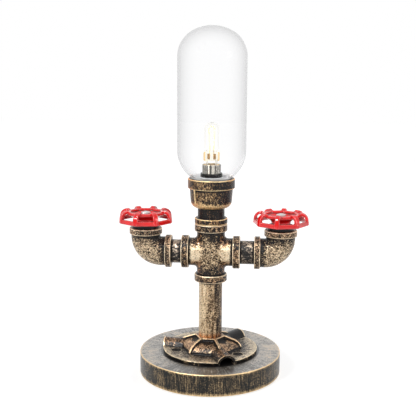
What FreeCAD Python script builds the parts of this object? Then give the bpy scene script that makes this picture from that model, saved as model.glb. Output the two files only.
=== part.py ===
import FreeCAD, Part
import math
import os
from FreeCAD import Placement, Rotation, Vector

os.makedirs("parts", exist_ok=True)

# Industrial pipe table lamp, in millimetres, +Z up.
# The origin is the centre of the face the lamp stands on, and the two arms lie along X.
# Every level is stacked from the sizes below, from the table upwards.

# --- pipe and fittings (half-inch pipe) ---
pipe_radius = 10.67
pipe_bore_radius = 7.9
thread_gap = 0.05          # radial gap between a pipe end and the socket it screws into
socket_depth = 9.0
core_radius = 9.4          # free bore of the fittings between their sockets
run_on = 1.0               # how far a form runs into its neighbour, or a cut past its face
band_radius = 14.85
band_edge = 0.7            # width of the cut along a band's edges

# --- base ---
pad_thickness = 1.0
pad_radius = 60.0
disc_radius = 65.0
disc_thickness = 19.6
disc_edge = 0.8            # width of the cut along the disc's edges
recess_radius = 27.0
recess_depth = 11.0
cable_hole_radius = 8.0
channel_radius = 3.6
bush_seat_radius = 4.6
bush_seat_depth = 12.0
bush_bore_radius = 2.75
bush_flange_radius = 6.0
bush_flange_thickness = 1.6

# --- floor flange ---
flange_radius = 43.6
flange_thickness = 3.0
flange_edge = 0.6
hub_height = 14.1          # hub top above the base disc
hub_corner_radius = 14.0   # hexagonal hub top, centre to corner
skirt_corner_radius = 28.9 # hexagonal foot of the hub
skirt_edge_height = 1.2
skirt_bulge = 1.9
hub_collar_height = 2.4    # upright collar under the hub's top
fin_width = 1.9
fin_rise = 1.5
fin_root = 5.0             # fin's depth into the hub
fin_foot_reach = 0.6       # fin's foot past the skirt's corner
fin_foot_height = 0.8
fin_head_reach = 0.3       # fin's head past the hub's corner
fin_corner = 0.5           # rounding of the fin's two outer corners
fin_knee = 14.0            # rounding of its bend
tunnel_radius = 8.8
tunnel_wall = 2.0
tunnel_start = 15.0
tunnel_end_wall = 6.0      # solid length at a tunnel's inner end
flange_turn = -66.5        # direction of the first tunnel
screw_circle = 32.9
screw_offset = 30.0        # angle from a tunnel to its screw
screw_shank_radius = 2.0
screw_head_radius = 4.1
screw_head_height = 2.2
screw_length = 14.0
screw_gap = 0.2
screw_room = 3.0           # height kept free above a screw's head

# --- stem and cross ---
stem_exposed = 52.6
cross_reach = 26.6         # centre of the cross to each of its four faces
cross_leg_radius = 12.7
cross_band_width = 6.6
cross_corner_radius = 3.0
cross_corner_fill = 10.0   # section radius of the metal that rounds an inner corner

# --- arms ---
arm_left = 59.6            # lamp axis to the left wheel's axis
arm_right = 63.2
elbow_reach = 23.7         # elbow's corner to its level face
elbow_rise = 21.6          # elbow's corner to its upper face
elbow_tube_radius = 13.2
elbow_bend_radius = 14.0   # of the tube's middle line
elbow_band_width = 5.4
elbow_core_start = 4.0     # flat end of each straight core bore, from the other bore's axis
elbow_relief = 2.0         # socket's depth past the thread

# --- elbow plug, spindle and handwheel ---
plug_flange_radius = 12.0
plug_flange_height = 4.7
plug_edge = 0.7
plug_depth = 8.0
spindle_radius = 3.0
spindle_gap = 0.05         # radial running gap of the spindle in its plug
spindle_end_gap = 0.15     # play of the spindle along its axis, each way
spindle_collar_radius = 5.0
spindle_collar_height = 2.0
spindle_shoulder_radius = 4.2
spindle_square = 5.0
spindle_thread_radius = 2.5
spindle_thread_end = 0.6   # thread left standing above the nut
wheel_lift = 0.5           # rim's underside above the plug
wheel_rim_radius = 25.5    # centre to a corner of the eight-sided rim
wheel_rim_height = 4.1
wheel_rim_width = 3.2
wheel_sides = 8
wheel_crest = 11.5         # top of the arched spokes above the rim's underside
wheel_ring_radius = 18.3   # centre to a corner of the upper ring
wheel_ring_width = 3.9
wheel_ring_top = 9.9
wheel_ring_height = 2.8
wheel_bar = 2.8            # thickness of an arched spoke
wheel_spoke_width = 3.7
spoke_set_in = 0.2         # spoke's outside from the rim's corner
spoke_foot = 0.6           # spoke's foot above the rim's underside
spoke_lean = 1.1           # spoke's outside leans in by this much up to the crest
spoke_round = 6.2          # rounding of the arch outside
spoke_hollow_round = 3.0   # and inside
spoke_head = 1.4           # inner end of the crest, inside the ring's corner
spoke_step = 1.0           # spoke's inner end below the ring's top
spoke_bend_reach = 0.5     # start of the arch's underside, inside the ring's corner
spoke_splay = 0.9          # the inner side leans in by this much more
wheel_join = 0.6           # overlap of a spoke or the web with the ring
wheel_edge = 0.7           # width of the cut along the rings' outer edges
wheel_hub_radius = 9.0
wheel_hub_bottom = 1.3
wheel_hub_top = 4.9
wheel_web = 1.8
wheel_web_drop = 1.6       # web's outer edge below the ring's top
wheel_turn_left = 30.0     # a corner of the left rim, from +X
wheel_turn_right = 35.0
nut_across_flats = 8.0
nut_height = 3.2
nut_cut_height = 0.5       # corners turned off at the nut's top
nut_cut_width = 0.8
washer_radius = 5.0
washer_thickness = 1.0
square_gap = 0.05

# --- reducing coupling ---
coupling_seam = 0.3        # gap between the cross and the coupling's lower face
coupling_height = 41.0
coupling_small_band = 5.0
coupling_neck_radius = 12.2
coupling_shoulder_z = 14.8 # underside of the wide body above the lower face
coupling_body_low_radius = 18.2
coupling_body_high_radius = 19.5
coupling_top_radius = 21.2
coupling_top_band = 8.8
coupling_shoulder_radius = 5.0
shoulder_slope = 0.6       # half the rise of the shoulder's underside
coupling_mouth_radius = 15.9
coupling_mouth_depth = 9.8
coupling_cavity_radius = 14.2
coupling_cone_start = 2.0  # inside, the bore widens from this far above the shoulder
coupling_cone_end = 7.0    # to this far above it
coupling_lead_in = 2.1
rib_width = 2.0
rib_rise = 0.9
rib_foot = 4.0             # rib's foot above the shoulder
rib_turn = 44.0

# --- lamp holder ---
plate_thickness = 2.0
plate_gap = 0.05
sleeve_radius = 8.55
sleeve_bore_radius = 7.35
sleeve_above_coupling = 12.5
sleeve_tail = 4.0          # sleeve below the plate
sleeve_collar_radius = 11.0
sleeve_collar_height = 2.5
sleeve_lip = 1.2
ceramic_gap = 0.05
ceramic_length = 18.0
ceramic_set_back = 0.3     # ceramic below the sleeve's rim
lock_nut_flats = 20.0
lock_nut_height = 3.2
pin_spacing = 9.0
pin_wire_radius = 0.5
pin_loop_width = 2.4
pin_bend_share = 0.98      # of half the loop, so that a pin keeps a short straight foot
pin_length = 10.5
pocket_gap = 0.45          # room for the contact strip round a pin
contact_thickness = 0.3
contact_drop = 2.5         # contact's ends below the ceramic's top
lead_radius = 0.8
lead_bend_radius = 6.0
lead_end = 4.0             # lead's length in the terminal block
wire_faces = 6             # flats round a thin wire, here and in the lamp

# --- terminal block ---
block_width = 18.0
block_length = 16.0
block_height = 9.0
block_hole_radius = 1.1
terminal_screw_radius = 1.6
terminal_screw_length = 3.0
terminal_screw_faces = 12

# --- glass shade and its ring ---
shade_radius = 30.8
shade_wall = 1.8
shade_length = 134.7
shade_sink = 0.4           # shade's flat foot below the coupling's rim
shade_foot_radius = 16.8
shade_crown_radius = 36.5
shade_knuckle_radius = 26.0
ring_thread_gap = 0.1      # radial gap between the shade ring and the holder's sleeve
ring_wall = 1.25
ring_glass_gap = 0.1
ring_flange_radius = 14.5
ring_flange_height = 2.0
ring_rise = 5.1            # ring above the shade's foot
ring_stop_gap = 0.1        # between the shade ring and the lock nut below it

# --- capsule lamp ---
capsule_radius = 6.7
capsule_wall = 0.9
capsule_length = 26.0
capsule_taper = 3.0
capsule_foot_share = 0.7   # radius of the capsule's foot, as a share of its own
capsule_dome = 0.85        # dome's rounding as a share of the radius
capsule_tip_radius = 1.4
capsule_tip_height = 1.8
pinch_width = 14.4
pinch_thickness = 5.2
pinch_height = 8.0
pinch_above_sleeve = 3.2
pin_seal = 1.2             # length of each pin and wire end sealed in glass
filament_radius = 0.75
filament_wire_radius = 0.35
filament_rise = 2.0        # foot of the filament above the pinch
filament_top_width = 5.0
filament_foot_width = 3.6
filament_height = 20.5
filament_bend_share = 0.7  # bend at the arch's top, as a share of half its width
foil_width = 2.4
foil_length = 5.0
foil_thickness = 0.3

# --- levels that follow ---
disc_top = pad_thickness + disc_thickness
recess_top = pad_thickness + recess_depth
flange_top = disc_top + flange_thickness
hub_top = disc_top + hub_height
stem_foot = flange_top
cross_bottom = hub_top + stem_exposed
cross_z = cross_bottom + cross_reach
cross_top = cross_z + cross_reach
socket_radius = pipe_radius + thread_gap
coupling_bottom = cross_top + coupling_seam
coupling_top = coupling_bottom + coupling_height
elbow_top = cross_z + elbow_rise
plug_top = elbow_top + plug_flange_height
wheel_bottom = plug_top + wheel_lift
plate_bottom = coupling_top - coupling_mouth_depth
plate_top = plate_bottom + plate_thickness
sleeve_top = coupling_top + sleeve_above_coupling
sleeve_bottom = plate_bottom - sleeve_tail
ceramic_top = sleeve_top - ceramic_set_back
ceramic_bottom = ceramic_top - ceramic_length
lock_nut_top = plate_top + lock_nut_height
shade_foot = coupling_top - shade_sink
shade_top = shade_foot + shade_length
ring_bottom = lock_nut_top + ring_stop_gap
ring_bore_radius = sleeve_radius + ring_thread_gap
ring_radius = ring_bore_radius + ring_wall
pinch_bottom = sleeve_top + pinch_above_sleeve
pinch_top = pinch_bottom + pinch_height
pin_bottom = pinch_bottom - pin_length
filament_foot = pinch_top + filament_rise
block_centre_z = recess_top - block_height / 2
block_front = lead_bend_radius

UP = Vector(0, 0, 1)


# --- helpers ---
def corner_arc(before, corner, after, radius):
    """Start, middle and end of the tangent arc that rounds one corner of an outline."""
    back = (before - corner).normalize()
    on = (after - corner).normalize()
    half = back.getAngle(on) / 2
    reach = radius / math.tan(half)
    bisector = (back + on).normalize()
    centre = corner + bisector * (radius / math.sin(half))
    return corner + back * reach, centre - bisector * radius, corner + on * reach


def outline(corners):
    """Closed wire in the XZ plane through (x, z) or (x, z, rounding radius) corners."""
    points = [Vector(c[0], 0, c[1]) for c in corners]
    stretches = []
    for i, corner in enumerate(corners):
        if len(corner) > 2:
            after = points[(i + 1) % len(points)]
            stretches.append(corner_arc(points[i - 1], points[i], after, corner[2]))
        else:
            stretches.append((points[i],))
    edges = []
    for i, stretch in enumerate(stretches):
        if len(stretch) == 3:
            edges.append(Part.Arc(*stretch).toShape())
        following = stretches[(i + 1) % len(stretches)][0]
        if (following - stretch[-1]).Length > 1e-6:
            edges.append(Part.makeLine(stretch[-1], following))
    return Part.Wire(edges)


def turned(corners):
    """Solid of revolution about Z from an outline of (radius, height) corners."""
    return Part.Face(outline(corners)).revolve(Vector(), UP, 360)


def eased(radius, low, high, cut):
    """Outline corners of a rim between two heights, with both of its edges cut at 45 degrees."""
    return [(radius - cut, low), (radius, low + cut), (radius, high - cut), (radius - cut, high)]


def slab(corners, width):
    """Outline in the XZ plane, extruded to a width centred on the plane."""
    face = Part.Face(outline(corners))
    face.translate(Vector(0, -width / 2, 0))
    return face.extrude(Vector(0, width, 0))


def post(radius, low, high):
    """Round bar on the Z axis between two heights."""
    return Part.makeCylinder(radius, high - low, Vector(0, 0, low))


def prism(sides, corner_radius, low, high, turn=0.0):
    """Upright bar of regular section, with one corner at the angle turn."""
    sides = round(sides)
    points = []
    for i in range(sides + 1):
        angle = math.radians(turn + 360.0 * i / sides)
        points.append(Vector(corner_radius * math.cos(angle), corner_radius * math.sin(angle), low))
    return Part.Face(Part.makePolygon(points)).extrude(Vector(0, 0, high - low))


def block(width, depth, low, high, centre_x=0.0, centre_y=0.0):
    """Box centred on a vertical line, between two heights."""
    corner = Vector(centre_x - width / 2, centre_y - depth / 2, low)
    return Part.makeBox(width, depth, high - low, corner)


def spun(shape, angle):
    """Copy of a shape turned about the Z axis."""
    return shape.rotated(Vector(), UP, angle)


def round_about(shape, count, first=0.0):
    """Copies of a shape evenly round the Z axis."""
    return [spun(shape, first + 360.0 * i / count) for i in range(count)]


def laid_along_x(shape):
    """Copy of an upright shape with its axis turned from +Z to +X."""
    return shape.rotated(Vector(), Vector(0, 1, 0), 90)


def wire_tube(points, bends, radius):
    """Thin wire along straight runs joined by tangent arcs, one radius for each inner point."""
    edges = []
    start = points[0]
    for i, bend in enumerate(bends, 1):
        arc = corner_arc(points[i - 1], points[i], points[i + 1], bend)
        if (arc[0] - start).Length > 1e-6:
            edges.append(Part.makeLine(start, arc[0]))
        edges.append(Part.Arc(*arc).toShape())
        start = arc[2]
    edges.append(Part.makeLine(start, points[-1]))
    ring = prism(wire_faces, radius, 0, 1).Faces
    section = [face for face in ring if abs(face.CenterOfMass.z) < 1e-6][0].OuterWire
    section.Placement = Placement(points[0], Rotation(UP, points[1] - points[0]))
    return Part.Wire(edges).makePipeShell([section], True, False)


def fused(shapes):
    """One solid from several that overlap, without seams between them."""
    return shapes[0].multiFuse(shapes[1:]).removeSplitter()


def grouped(shapes):
    """Separate solids that share one node."""
    return Part.makeCompound(shapes)


# --- base ---
def inlet_level():
    """Height of the cable channel's axis: the middle of the recess."""
    return pad_thickness + recess_depth / 2


def base_pad():
    """Thin pad under the disc. Its underside is what the lamp stands on."""
    return post(pad_radius, 0, pad_thickness)


def base_disc():
    """Turned disc with a wiring recess below, a centre hole and a cable channel to the back."""
    disc = turned(
        [(0, pad_thickness)] + eased(disc_radius, pad_thickness, disc_top, disc_edge)
        + [(0, disc_top)])
    recess = post(recess_radius, pad_thickness, recess_top)
    centre_hole = post(cable_hole_radius, recess_top, disc_top)
    back = Vector(0, 1, 0)
    level = inlet_level()
    channel = Part.makeCylinder(channel_radius, disc_radius, Vector(0, 0, level), back)
    seat_start = Vector(0, disc_radius - bush_seat_depth, level)
    seat = Part.makeCylinder(bush_seat_radius, bush_seat_depth, seat_start, back)
    pilot = post(screw_shank_radius + thread_gap, flange_top - screw_length, disc_top)
    pilot.translate(Vector(screw_circle, 0, 0))
    pilots = round_about(pilot, 3, flange_turn + screw_offset)
    return disc.cut(grouped([recess, centre_hole, channel, seat] + pilots))


def cable_inlet_bush():
    """Rubber bush in the disc's back edge, with a bore for the supply cord."""
    outer = bush_seat_radius - thread_gap
    flange_end = bush_seat_depth + bush_flange_thickness
    bush = turned([
        (bush_bore_radius, 0), (outer, 0), (outer, bush_seat_depth),
        (bush_flange_radius, bush_seat_depth), (bush_flange_radius, flange_end),
        (bush_bore_radius, flange_end)])
    bush.rotate(Vector(), Vector(1, 0, 0), -90)
    bush.translate(Vector(0, disc_radius - bush_seat_depth, inlet_level()))
    return bush


def terminal_block():
    """Two-pole block under the recess's ceiling, with a through hole for each pole."""
    middle = block_front + block_length / 2
    body = block(block_width, block_length, recess_top - block_height, recess_top, 0, middle)
    cuts = []
    for side in (-1, 1):
        start = Vector(side * pin_spacing / 2, block_front - run_on, block_centre_z)
        cuts.append(Part.makeCylinder(
            block_hole_radius, block_length + 2 * run_on, start, Vector(0, 1, 0)))
        for along in (0.25, 0.75):
            well = prism(
                terminal_screw_faces, terminal_screw_radius + screw_gap,
                pad_thickness, block_centre_z)
            well.translate(Vector(side * pin_spacing / 2, block_front + along * block_length, 0))
            cuts.append(well)
    return body.cut(grouped(cuts))


def terminal_screws():
    """Four clamping screws, two to a pole, with their heads facing down."""
    screws = []
    for side in (-1, 1):
        for along in (0.25, 0.75):
            foot = recess_top - block_height
            screw = prism(
                terminal_screw_faces, terminal_screw_radius, foot, foot + terminal_screw_length)
            screw.translate(
                Vector(side * pin_spacing / 2, block_front + along * block_length, 0))
            screws.append(screw)
    return grouped(screws)


# --- floor flange ---
def hub_side():
    """One pair of the hub's six sides: a bulged section, as long as the hub is wide."""
    half = math.cos(math.pi / 6)
    foot = skirt_corner_radius * half
    head = hub_corner_radius * half
    edge_top = flange_top + skirt_edge_height
    collar_foot = hub_top - hub_collar_height
    middle = Vector((foot + head) / 2, 0, (edge_top + collar_foot) / 2)
    slope = Vector(foot - head, 0, edge_top - collar_foot).normalize()
    outward = Vector(-slope.z, 0, slope.x)
    right = [
        Part.makeLine(Vector(foot, 0, disc_top + run_on), Vector(foot, 0, edge_top)),
        Part.Arc(Vector(foot, 0, edge_top), middle + outward * skirt_bulge,
                 Vector(head, 0, collar_foot)).toShape(),
        Part.makeLine(Vector(head, 0, collar_foot), Vector(head, 0, hub_top))]
    left = [edge.mirror(Vector(), Vector(1, 0, 0)) for edge in right]
    top = Part.makeLine(Vector(head, 0, hub_top), Vector(-head, 0, hub_top))
    bottom = Part.makeLine(Vector(foot, 0, disc_top + run_on), Vector(-foot, 0, disc_top + run_on))
    side = Part.Face(Part.Wire(Part.sortEdges(right + left + [top, bottom])[0]))
    side.translate(Vector(0, -skirt_corner_radius, 0))
    return side.extrude(Vector(0, 2 * skirt_corner_radius, 0))


def hub_body():
    """Six-sided hub whose panels bulge between straight corners."""
    sides = [spun(hub_side(), 30 + 60 * i) for i in range(3)]
    return sides[0].common(sides[1]).common(sides[2])


def fin():
    """Raised rib down one corner of the hub, from the hub's top to the plate."""
    root = hub_corner_radius - fin_root
    foot = skirt_corner_radius + fin_foot_reach
    knee = (foot + hub_corner_radius) / 2
    knee_z = (flange_top + hub_top) / 2 + fin_rise + skirt_bulge / 2
    return slab([
        (root, disc_top + run_on), (foot, disc_top + run_on),
        (foot, flange_top + fin_foot_height, fin_corner), (knee, knee_z, fin_knee),
        (hub_corner_radius + fin_head_reach, hub_top, fin_corner), (root, hub_top)], fin_width)


def tunnel(radius, start):
    """Upper half of a round bar lying on the disc along X, from a start out past the rim."""
    length = flange_radius + run_on - start
    bar = Part.makeCylinder(radius, length, Vector(start, 0, disc_top), Vector(1, 0, 0))
    upper_half = block(
        length, 2 * radius + run_on, disc_top, disc_top + radius + run_on, start + length / 2)
    return bar.common(upper_half)


def floor_flange():
    """Cast flange: round plate, six-sided hub with fins and three open half-round tunnels."""
    plate = turned([
        (0, disc_top), (flange_radius, disc_top), (flange_radius, flange_top - flange_edge),
        (flange_radius - flange_edge, flange_top), (0, flange_top)])
    fins = round_about(fin(), 6)
    rim_limit = post(flange_radius, disc_top, disc_top + 2 * tunnel_radius)
    tunnels = round_about(tunnel(tunnel_radius, tunnel_start).common(rim_limit), 3)
    cast = fused([plate, hub_body()] + fins + tunnels)
    hollow = tunnel(tunnel_radius - tunnel_wall, tunnel_start + tunnel_end_wall)
    hollows = round_about(hollow, 3)
    seat = post(socket_radius, stem_foot, hub_top + run_on)
    way = post(cable_hole_radius, disc_top - run_on, stem_foot)
    above_head = post(screw_head_radius + screw_gap, flange_top, flange_top + screw_room)
    screw_way = screw_shape(screw_gap).fuse(above_head.translated(Vector(screw_circle, 0, 0)))
    holes = round_about(screw_way, 3, screw_offset)
    flange = cast.cut(grouped(hollows + [seat, way] + holes))
    return spun(flange, flange_turn)


def screw_shape(gap=0.0):
    """One countersunk wood screw, head flush with the plate, widened all round by a gap."""
    head = screw_head_radius + gap
    shank = screw_shank_radius + gap
    screw = turned([
        (0, flange_top - screw_length), (shank, flange_top - screw_length),
        (shank, flange_top - screw_head_height), (head, flange_top), (0, flange_top)])
    return screw.translated(Vector(screw_circle, 0, 0))


def flange_screws():
    """Three countersunk wood screws that hold the flange to the disc."""
    return grouped(round_about(screw_shape(), 3, flange_turn + screw_offset))


# --- pipes ---
def pipe(low, high):
    """Upright length of pipe between two heights."""
    return post(pipe_radius, low, high).cut(post(pipe_bore_radius, low, high))


def stem_pipe():
    """Stem, from the shoulder in the flange up into the cross."""
    return pipe(stem_foot, cross_bottom + socket_depth)


def top_nipple():
    """Short pipe hidden between the cross and the reducing coupling."""
    return pipe(cross_top - socket_depth, coupling_bottom + socket_depth)


def arm_nipple(arm, side):
    """Short horizontal pipe between the cross and one elbow."""
    inner = cross_reach - socket_depth
    outer = arm - elbow_reach + socket_depth
    nipple = laid_along_x(pipe(inner, outer))
    nipple.translate(Vector(0, 0, cross_z))
    return nipple if side > 0 else spun(nipple, 180)


# --- fittings ---
def band(low, high):
    """Raised ring round the end of a fitting."""
    return turned([(0, low)] + eased(band_radius, low, high, band_edge) + [(0, high)])


def cross_leg():
    """Straight upright leg of the cross with a band at each end."""
    inner = cross_reach - cross_band_width
    return [post(cross_leg_radius, -inner - run_on, inner + run_on),
            band(-cross_reach, -inner), band(inner, cross_reach)]


def bend(radius, bend_radius, tangent_radius=None):
    """Quarter of a round ring from the leg along +X up to the leg along +Z.

    A ring thinner than its legs is moved inwards, until it lies against their tangents.
    """
    rise = 0 if tangent_radius is None else tangent_radius - radius
    circle = Part.makeCircle(radius, Vector(bend_radius, 0, rise), Vector(1, 0, 0))
    centre = Vector(bend_radius, 0, bend_radius)
    return Part.Face(Part.Wire(circle)).revolve(centre, Vector(0, 1, 0), 90)


def cross_fitting():
    """Four-way fitting: two crossed legs with rounded inner corners and four sockets."""
    upright = cross_leg()
    level = [laid_along_x(piece) for piece in cross_leg()]
    corner = bend(cross_corner_fill, cross_leg_radius + cross_corner_radius, cross_leg_radius)
    corners = [corner.rotated(Vector(), Vector(0, 1, 0), 90 * i) for i in range(4)]
    cast = fused(upright + level + corners)
    bores = []
    for bore in (post(core_radius, -cross_reach, cross_reach),
                 post(socket_radius, -cross_reach, -cross_reach + socket_depth),
                 post(socket_radius, cross_reach - socket_depth, cross_reach)):
        bores += [bore, laid_along_x(bore)]
    return cast.cut(fused(bores)).translated(Vector(0, 0, cross_z))


def elbow(arm, side):
    """Right-angle fitting, open towards the cross and upwards."""
    level = elbow_leg(elbow_reach)
    upright = elbow_leg(elbow_rise)
    cast = fused([bend(elbow_tube_radius, elbow_bend_radius)] + upright["metal"]
                 + [laid_along_x(piece) for piece in level["metal"]])
    bores = fused(upright["bores"] + [laid_along_x(piece) for piece in level["bores"]])
    body = cast.cut(bores)
    placed = spun(body, 180) if side > 0 else body
    return placed.translated(Vector(side * arm, 0, cross_z))


def elbow_leg(reach):
    """Metal and bores of one upright leg of an elbow, from its bend to its face."""
    band_low = reach - elbow_band_width
    return {
        "metal": [post(elbow_tube_radius, elbow_bend_radius, band_low + run_on),
                  band(band_low, reach)],
        "bores": [post(pipe_bore_radius, elbow_core_start, reach),
                  post(socket_radius, reach - socket_depth - elbow_relief, reach)]}


def coupling_rib():
    """Straight cast rib on the coupling's wide body."""
    low = coupling_bottom + coupling_shoulder_z + rib_foot
    high = coupling_top - coupling_top_band
    outer_low = coupling_body_low_radius + rib_rise
    outer_high = coupling_body_high_radius + rib_rise
    inner = coupling_cavity_radius + run_on
    return slab([(inner, low), (outer_low, low), (outer_high, high), (inner, high)], rib_width)


def reducing_coupling():
    """Bell-shaped fitting that widens from the pipe to the mouth the shade stands in."""
    bottom = coupling_bottom
    shoulder = bottom + coupling_shoulder_z
    band_low = coupling_top - coupling_top_band
    neck_foot = bottom + coupling_small_band
    outside = turned(
        [(0, bottom)] + eased(band_radius, bottom, neck_foot, band_edge)
        + [(coupling_neck_radius, neck_foot), (coupling_neck_radius, shoulder - shoulder_slope),
           (coupling_body_low_radius, shoulder + shoulder_slope, coupling_shoulder_radius),
           (coupling_body_high_radius, band_low)]
        + eased(coupling_top_radius, band_low, coupling_top, band_edge) + [(0, coupling_top)])
    cast = fused([outside] + round_about(coupling_rib(), 2, rib_turn))
    throat = bottom + socket_depth
    inside = turned([
        (0, bottom), (socket_radius, bottom), (socket_radius, throat), (core_radius, throat),
        (core_radius, shoulder + coupling_cone_start),
        (coupling_cavity_radius, shoulder + coupling_cone_end),
        (coupling_cavity_radius, plate_bottom), (coupling_mouth_radius, plate_bottom),
        (coupling_mouth_radius, coupling_top - coupling_lead_in),
        (coupling_mouth_radius + coupling_lead_in, coupling_top), (0, coupling_top)])
    return cast.cut(inside)


# --- elbow plug, spindle and handwheel ---
def on_arm(shape, arm, side):
    """Copy of an upright shape moved onto one wheel's axis."""
    return shape.translated(Vector(side * arm, 0, 0))


def elbow_plug(arm, side):
    """Black plug screwed into the elbow's mouth, with a bore for the spindle."""
    bore = spindle_radius + spindle_gap
    plug = turned([
        (bore, elbow_top - plug_depth), (pipe_radius, elbow_top - plug_depth),
        (pipe_radius, elbow_top), (plug_flange_radius, elbow_top),
        (plug_flange_radius, plug_top - plug_edge), (plug_flange_radius - plug_edge, plug_top),
        (bore, plug_top)])
    return on_arm(plug, arm, side)


def spindle(arm, side):
    """Turned spindle: collar under the plug, shaft, shoulder, square and thread."""
    collar_top = elbow_top - plug_depth - spindle_end_gap
    shoulder_low = plug_top + spindle_end_gap
    shoulder_top = wheel_bottom + wheel_hub_bottom
    square_top = wheel_bottom + wheel_hub_top
    thread_top = square_top + washer_thickness + nut_height + spindle_thread_end
    parts = [
        post(spindle_collar_radius, collar_top - spindle_collar_height, collar_top),
        post(spindle_radius, collar_top - spindle_collar_height, shoulder_top),
        post(spindle_shoulder_radius, shoulder_low, shoulder_top),
        block(spindle_square, spindle_square, shoulder_top, square_top),
        post(spindle_thread_radius, shoulder_top, thread_top)]
    return on_arm(spun(fused(parts), wheel_turn(side)), arm, side)


def wheel_turn(side):
    """Angle at which a wheel is left standing."""
    return wheel_turn_right if side > 0 else wheel_turn_left


def eight_sided_ring(corner_radius, width, low, high):
    """Ring of eight straight sides, with the edges of its outside cut at 45 degrees."""
    ring = prism(wheel_sides, corner_radius, low, high)
    flat = [face for face in ring.Faces if abs(face.normalAt(0, 0).z) > 0.5]
    ring = ring.makeChamfer(wheel_edge, flat[0].Edges + flat[1].Edges)
    return ring.cut(prism(wheel_sides, corner_radius - width, low - run_on, high + run_on))


def wheel_rim():
    """Lower rim, the part that a hand turns."""
    return eight_sided_ring(wheel_rim_radius, wheel_rim_width, 0, wheel_rim_height)


def wheel_ring():
    """Upper ring, set in from the rim."""
    return eight_sided_ring(
        wheel_ring_radius, wheel_ring_width, wheel_ring_top - wheel_ring_height, wheel_ring_top)


def wheel_spoke():
    """Arched bar that rises from a corner of the rim and dips to the upper ring."""
    outer = wheel_rim_radius - spoke_set_in
    inner = outer - wheel_bar
    under = wheel_crest - wheel_bar
    ring_inner = wheel_ring_radius - wheel_ring_width + wheel_join
    return slab([
        (outer, spoke_foot), (outer - spoke_lean, wheel_crest, spoke_round),
        (wheel_ring_radius - spoke_head, wheel_crest), (ring_inner, wheel_ring_top - spoke_step),
        (ring_inner, wheel_ring_top - wheel_ring_height),
        (wheel_ring_radius - spoke_bend_reach, under),
        (inner - spoke_splay, under, spoke_hollow_round), (inner, spoke_foot)],
        wheel_spoke_width)


def wheel_centre():
    """Hub with the dished web that carries the upper ring."""
    web_reach = wheel_ring_radius - wheel_ring_width + wheel_join
    web_high = wheel_ring_top - wheel_web_drop
    return turned([
        (0, wheel_hub_bottom), (wheel_hub_radius, wheel_hub_bottom),
        (wheel_hub_radius, wheel_hub_top - wheel_web),
        (web_reach, web_high - wheel_web), (web_reach, web_high),
        (wheel_hub_radius, wheel_hub_top), (0, wheel_hub_top)])


def handwheel(arm, side):
    """Cast handwheel: rim, eight arched spokes, upper ring, dished web and square-holed hub."""
    spokes = round_about(wheel_spoke(), wheel_sides)
    wheel = fused([wheel_rim(), wheel_ring(), wheel_centre()] + spokes)
    hole = spindle_square + 2 * square_gap
    wheel = wheel.cut(block(hole, hole, wheel_hub_bottom - run_on, wheel_hub_top + run_on))
    wheel.translate(Vector(0, 0, wheel_bottom))
    return on_arm(spun(wheel, wheel_turn(side)), arm, side)


def wheel_washer(arm, side):
    """Plain washer on the hub."""
    low = wheel_bottom + wheel_hub_top
    ring = post(washer_radius, low, low + washer_thickness)
    hole = post(spindle_thread_radius + thread_gap, low, low + washer_thickness)
    return on_arm(ring.cut(hole), arm, side)


def wheel_nut(arm, side):
    """Six-sided nut on the spindle's thread, corners turned off at the top."""
    low = wheel_bottom + wheel_hub_top + washer_thickness
    high = low + nut_height
    corner = nut_across_flats / math.sqrt(3)
    nut = prism(6, corner, low, high, wheel_turn(side))
    dome = turned([
        (0, low), (corner, low), (corner, high - nut_cut_height), (corner - nut_cut_width, high),
        (0, high)])
    hole = post(spindle_thread_radius + thread_gap, low, high)
    return on_arm(nut.common(dome).cut(hole), arm, side)


# --- lamp holder ---
def holder_plate():
    """Disc that closes the coupling's mouth and carries the lamp holder."""
    radius = coupling_mouth_radius - plate_gap
    hole = post(sleeve_radius + thread_gap, plate_bottom, plate_top)
    return post(radius, plate_bottom, plate_top).cut(hole)


def holder_sleeve():
    """Threaded metal sleeve with a collar under the plate and a lip under the ceramic."""
    inner_low = sleeve_bore_radius - sleeve_lip
    return turned([
        (inner_low, sleeve_bottom), (sleeve_radius, sleeve_bottom),
        (sleeve_radius, plate_bottom - sleeve_collar_height),
        (sleeve_collar_radius, plate_bottom - sleeve_collar_height),
        (sleeve_collar_radius, plate_bottom), (sleeve_radius, plate_bottom),
        (sleeve_radius, sleeve_top), (sleeve_bore_radius, sleeve_top),
        (sleeve_bore_radius, ceramic_bottom), (inner_low, ceramic_bottom)])


def holder_lock_nut():
    """Thin six-sided nut that clamps the sleeve to the plate."""
    nut = prism(6, lock_nut_flats / math.sqrt(3), plate_top, lock_nut_top)
    return nut.cut(post(sleeve_radius + thread_gap, plate_top, lock_nut_top))


def pocket_size():
    """Length and width of the pocket for one pin and its contact."""
    return pin_loop_width + 2 * pocket_gap, 2 * (pin_wire_radius + pocket_gap)


def holder_ceramic():
    """Ceramic insert with a pocket for each lamp pin and a hole for each lead below it."""
    body = post(sleeve_bore_radius - ceramic_gap, ceramic_bottom, ceramic_top)
    length, width = pocket_size()
    cuts = []
    for side in (-1, 1):
        centre = side * pin_spacing / 2
        cuts.append(block(length, width, pin_bottom - run_on, ceramic_top + run_on, centre))
        cuts.append(post(lead_radius, ceramic_bottom - run_on, pin_bottom).translated(
            Vector(centre, 0, 0)))
    return body.cut(grouped(cuts))


def holder_contacts():
    """Two sprung contact strips, one lining each pocket."""
    length, width = pocket_size()
    strips = []
    for side in (-1, 1):
        centre = side * pin_spacing / 2
        outer = block(length, width, pin_bottom - run_on, ceramic_top - contact_drop, centre)
        inner = block(length + run_on, width - 2 * contact_thickness,
                      pin_bottom - run_on + contact_thickness, ceramic_top, centre)
        strips.append(outer.cut(inner))
    return grouped(strips)


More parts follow.
